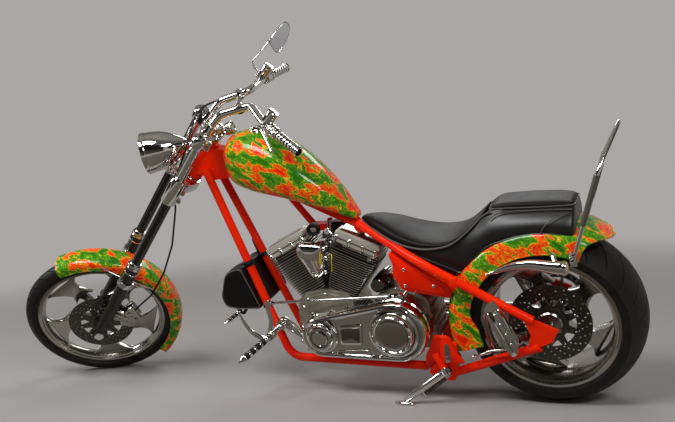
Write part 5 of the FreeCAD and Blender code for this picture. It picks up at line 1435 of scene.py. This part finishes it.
def foot_set(toe_lever):
    """The left rider's plate, arm and peg; the toe lever is a shifter or a shorter brake pedal."""
    carrier = [(1096, -8), (1084, 8), (1056, 13), (1018, -22), (976, -76), (970, -96), (980, -108),
               (1000, -104), (1052, -62), (1092, -36)]
    metal = plate(carrier, 95, 109, 10, 3, 0, 5)
    metal += plate([(x - 0.16 * (x - 1030), z - 0.16 * (z + 42)) for x, z in carrier], 107, 112.5, 9, 2, 0, 5)
    metal += turned([(19, 86), (22, 90), (22, 120), (19, 124)], (1076, 0, -18), LEFT, 36)
    metal += turned([(12.5, 120), (12.5, 188), (17, 190), (18.5, 194), (18.5, 214), (16, 218)],
                    (1076, 0, -20), LEFT, 32)
    for x, z in ((1060, -22), (1030, -48), (992, -90)):
        metal += turned([(6.2, 110), (6.2, 116), (4.6, 118)], (x, 0, z), LEFT, 16)
        metal += turned([(3.0, 111), (3.0, 118.6)], (x, 0, z), LEFT, 6, 1)
    metal += grooved_peg((1082, 219, -25), (1146, 366, -64), 15, 4, 34)
    if toe_lever:
        arm = flowing([(1086, 236, -27), (1108, 237, -19), (1141, 239, 5), (1165, 240, 43),
                       (1181, 240, 88)], 7)
        widths = [14.5 - 8.5 * (k / (len(arm) - 1)) ** 1.3 for k in range(len(arm))]
        metal += bar(arm, widths, 14, 0, 0.34, up=LEFT)
        metal += turned([(13, 226), (14.5, 228), (14.5, 240), (12, 243)], (1086, 0, -26), LEFT, 28)
        metal += grooved_peg((1183, 234, 90), (1198, 332, 86), 8.5, 3, 24)
        blade = flowing([(1060, 203, 118), (1070, 203, 92), (1066, 203, 46), (1074, 204, 8),
                         (1086, 206, -18)], 7)
        sizes = [9.5 + 1.5 * sin(pi * k / (len(blade) - 1)) for k in range(len(blade))]
        metal += bar(blade, sizes, 12, 0, 0.32, up=LEFT)
    else:
        arm = flowing([(1086, 236, -27), (1112, 238, -10), (1136, 240, 26), (1150, 240, 66)], 7)
        metal += bar(arm, [12 - 4 * k / (len(arm) - 1) for k in range(len(arm))], 14, 0, 0.4, up=LEFT)
        metal += plate([(1132, 58), (1164, 58), (1168, 96), (1128, 96)], 232, 288, 8, 3)
    return metal


make(foot_set(True), "left_foot_control", "frame", "chrome rubber", "foot_control_left")
make(mirrored(foot_set(False)), "right_foot_control", "frame", "chrome rubber", "foot_control_right")


# ---------------------------------------------------------------- passenger pegs, folded up against the stays
def folded_peg():
    inner, outer = 214.5, 236.0
    blade = [(166, 142), (196, 112), (200, 98), (192, 84), (126, -66), (112, -74), (98, -62), (88, -6),
             (150, 122)]
    pair = plate(blade, inner, inner + 7, 8, 1.5, 0, 4)
    # two bright cheeks stand along the long edges, with a dark channel between them
    for front in (True, False):
        a, b = ((186, 96), (116, -60)) if front else ((150, 112), (97, -18))
        run = V((b[0] - a[0], 0, b[1] - a[1])).normalized()
        square = V((run.z, 0, -run.x))
        line = [V((a[0], 0, a[1])) + (V((b[0], 0, b[1])) - V((a[0], 0, a[1]))) * t
                for t in (0, 0.04, 0.5, 0.96, 1)]
        widths = (4.0, 7.5, 8.5, 6.5, 3.0)
        cheek = [[p + square * w + V((0, inner + 5, 0)), p + square * w + V((0, outer - 2, 0)),
                  p + square * (w - 2) + V((0, outer, 0)), p - square * (w - 2) + V((0, outer, 0)),
                  p - square * w + V((0, outer - 2, 0)), p - square * w + V((0, inner + 5, 0))]
                 for p, w in zip(line, widths)]
        pair += Form().rings(cheek)
    for t in (0.12, 0.36, 0.62, 0.86):
        x, z = 169 - 62 * t, 106 - 148 * t
        pair += turned([(4.6, inner + 6), (4.6, inner + 11), (2.6, inner + 13)], (x, 0, z), LEFT, 16)
    pair += turned([(11, 186), (11, 210), (13, 212), (13, 216)], (178, 0, 118), LEFT, 24)
    pair += turned([(9, 186), (9, 216)], (112, 0, -66), LEFT, 20)
    pair += bar([(262, 191, -94), (238, 196, -82), (190, 206, -58), (134, 219, -44)], 4.6, 12)
    pair += turned([(6.5, 0), (8, 2), (8, 16), (6.5, 18)], (214, 201, -70), (-0.9, 0.14, 0.42), 16)
    pair += turned([(5.5, 0), (10, 3), (10, 9), (5.5, 12)], (266, 190, -96), (-0.9, 0.14, 0.42), 20)
    return pair


for name, form in (("left_folded_peg", folded_peg()), ("right_folded_peg", mirrored(folded_peg()))):
    chromed(form, name, "frame", "passenger_pegs")


# ---------------------------------------------------------------- side stand, its bracket and spring
STAND_TOP, STAND_PIN = V((372, 200, -150)), V((0.5, -0.2, 0.84)).normalized()
foot_row = V((rear_hub.x + 0.547, rear_hub.y + 0.16, 0))
level = AT["frame"].inverted() @ Matrix.Translation(foot_row) @ Matrix.Scale(0.001, 4)
stand_foot = level @ V((0, 0, 8))
leg_way, leg_length = (stand_foot - STAND_TOP).normalized(), (stand_foot - STAND_TOP).length
leg = turned([(11, 6), (15, 14), (15.5, 30), (13.5, 0.62 * leg_length), (11.5, leg_length - 8),
              (8, leg_length - 2)], STAND_TOP, leg_way, 32)
leg += ring_of([(8.6, -14), (17, -14), (20, -11), (20, 11), (17, 14), (8.6, 14)], STAND_TOP, STAND_PIN, 36)
pad_line = [(-44, -14), (-36, -22), (20, -24), (31, -16), (31, 16), (20, 24), (-36, 22), (-44, 14)]
rows = [(0.4, 3), (2, 0.5), (8, 0), (10.5, 1.5), (11.8, 5)]
sole = Form().rings([[V((x * (1 - i / 40), y * (1 - i / 26), z)) for x, y in pad_line]
                     for z, i in rows]).moved(level)
leg += sole
across_leg = across(leg_way)
under = min((s * d for s in (1, -1) for d in across_leg), key=lambda d: (AT["frame"].to_3x3() @ d).z)
tang = STAND_TOP + leg_way * 0.6 * leg_length
leg += rod(tang + under * 8, tang + under * 30, 4.5, 0, 14)
leg += rod(STAND_TOP + under * 8 + leg_way * 16, STAND_TOP + under * 25 + leg_way * 16, 4.5, 0, 14)
chromed(leg, "side_stand_leg", "side_stand", "side_stand")
start, finish_at = STAND_TOP + under * 21 + leg_way * 20, tang + under * 24 - leg_way * 5
run, (coil_a, coil_b) = finish_at - start, across(finish_at - start)
TURNS, COIL_STEPS, COIL_RADIUS = 16, 10, 6.5
coil = [start + run * (k / (TURNS * COIL_STEPS)) + (coil_a * cos(2 * pi * k / COIL_STEPS)
        + coil_b * sin(2 * pi * k / COIL_STEPS)) * COIL_RADIUS for k in range(TURNS * COIL_STEPS + 1)]
make(bar(coil, 1.6, 6), "side_stand_spring", "side_stand", "smoked", "", 60)

arch = plate([(378, -116), (384, -72), (379, -34), (368, -14), (352, -8), (338, -16), (331, -40), (326, -68),
              (300, -104), (296, -114), (318, -112), (334, -98), (346, -112)], 197, 208, 7, 2.5)
arch += brick(330, 372, 150, 199, -92, -52, 3)
make(arch, "side_stand_arch", "frame", "lacquer", "")
strip = plate([(366, -110), (366, -72), (363, -42), (356, -33), (347, -38), (345, -70), (348, -110)], 207,
              211.5, 6, 1.5)
strip += hexagon((356, 211, -96), LEFT, 6, 4)
make(strip, "side_stand_stop_strip", "frame", "polished", "")
head = hexagon(STAND_TOP + STAND_PIN * -15, -STAND_PIN, 11, 8)
head += ring_of([(8.6, -18), (13, -18), (13, -14.5), (8.6, -14.5)], STAND_TOP, STAND_PIN, 28)
chromed(head, "side_stand_pin_head")
make(brick(290, 320, 168, 196, 178, 214, 4), "upper_rail_lug", "frame", "lacquer", "")
def paint_nodes(key, names):
    for name in names.split():
        data = nodes[name].data
        data.materials.clear()
        data.materials.append(FINISH[key])


# ---------------------------------------------------------------- solids that keep their own shape
paint_nodes("lacquer", "downtube_left downtube_right lower_rail_left lower_rail_right upper_rail_left "
            "upper_rail_right rear_stay_left rear_stay_right backbone")
paint_nodes("chrome", "exhaust_front exhaust_rear rear_axle")
paint_nodes("rubber", "brake_hose")


# ---------------------------------------------------------------- the studio
def mirrored_only(material):
    """Cloth out of the picture, which only bright metal and gloss show."""
    tree = material.node_tree
    seen, shader = add(tree, "LightPath").outputs["Is Glossy Ray"], tree.nodes["Principled BSDF"]
    both = add(tree, "MixShader", {0: seen, 1: add(tree, "BsdfTransparent"), 2: shader})
    tree.links.new(both.outputs[0], tree.nodes["Material Output"].inputs[0])
    return material


def backdrop():
    """A floor that fades into the even grey behind it, and cloths round it for the metal to mirror."""
    paper = finish("backdrop_paper", {"Base Color": FLOOR_GREY, "Roughness": 0.75, "Specular IOR Level": 0.2})
    tree = paper.node_tree
    where = add(tree, "TexCoord").outputs["Object"]
    far = add(tree, "VectorMath", {0: where}, operation="LENGTH").outputs["Value"]
    fade = add(tree, "MapRange", {"Value": far, "From Min": FADE_FROM, "From Max": FADE_TO, "To Min": 0.0,
                                  "To Max": 1.0}, interpolation_type="SMOOTHSTEP")
    both = add(tree, "MixShader", {0: fade, 1: tree.nodes["Principled BSDF"],
                                   2: add(tree, "BsdfTransparent")})
    tree.links.new(both.outputs[0], tree.nodes["Material Output"].inputs[0])

    dark, brown, grey = (mirrored_only(finish(name, {"Base Color": tone, "Roughness": 1.0})) for name,
                         tone in (("black_studio_cloth", "#262422"), ("brown_studio_cloth", "#5A554E"),
                                  ("grey_studio_cloth", "#B8B3AD")))
    disc = [(cos(2 * pi * k / 64), sin(2 * pi * k / 64)) for k in range(64)]
    cards = {"studio_floor": ([(5.4 * x, 5.4 * y, 0) for x, y in disc], paper),
             "ceiling_cloth": ([(5.0 * x, 5.0 * y, 4.4) for x, y in disc], grey),
             "camera_side_cloth": ([(-5, 4.6, 1.5), (5, 4.6, 1.5), (5, 4.6, 4.4), (-5, 4.6, 4.4)], dark),
             "camera_side_wall": ([(-5, 4.6, 0.1), (5, 4.6, 0.1), (5, 4.6, 1.5), (-5, 4.6, 1.5)], brown),
             "floor_side_cloth": ([(-3.4, 0.34, 0.01), (3.4, 0.34, 0.01), (3.4, 2.6, 0.01),
                                   (-3.4, 2.6, 0.01)], brown),
             "rear_side_cloth": ([(-5.2, -1.2, 1.2), (-5.2, 3.4, 1.2), (-5.2, 3.4, 4.4), (-5.2, -1.2, 4.4)],
                                 dark),
             "front_side_cloth": ([(5.2, -1.2, 1.2), (5.2, 3.4, 1.2), (5.2, 3.4, 4.4), (5.2, -1.2, 4.4)],
                                  dark)}
    for name, (points, material) in cards.items():
        mesh = bpy.data.meshes.new(name)
        mesh.from_pydata(points, [], [tuple(range(len(points)))])
        mesh.materials.append(material)
        sheet = set_out(name, mesh)

    world = bpy.data.worlds.new("studio")
    world.use_nodes = True
    tree = world.node_tree
    path = add(tree, "LightPath").outputs
    shown = add(tree, "Math", {0: path["Is Camera Ray"], 1: path["Is Glossy Ray"]}, operation="MAXIMUM")
    shown = add(tree, "Math", {0: shown, 1: path["Is Transmission Ray"]}, operation="MAXIMUM")
    level = add(tree, "MapRange", {"Value": shown, "To Min": AMBIENT, "To Max": 1.0})
    tree.nodes["Background"].inputs[0].default_value = to_linear(WALL_GREY)
    tree.links.new(level.outputs[0], tree.nodes["Background"].inputs[1])
    bpy.context.scene.world = world


studio()
backdrop()
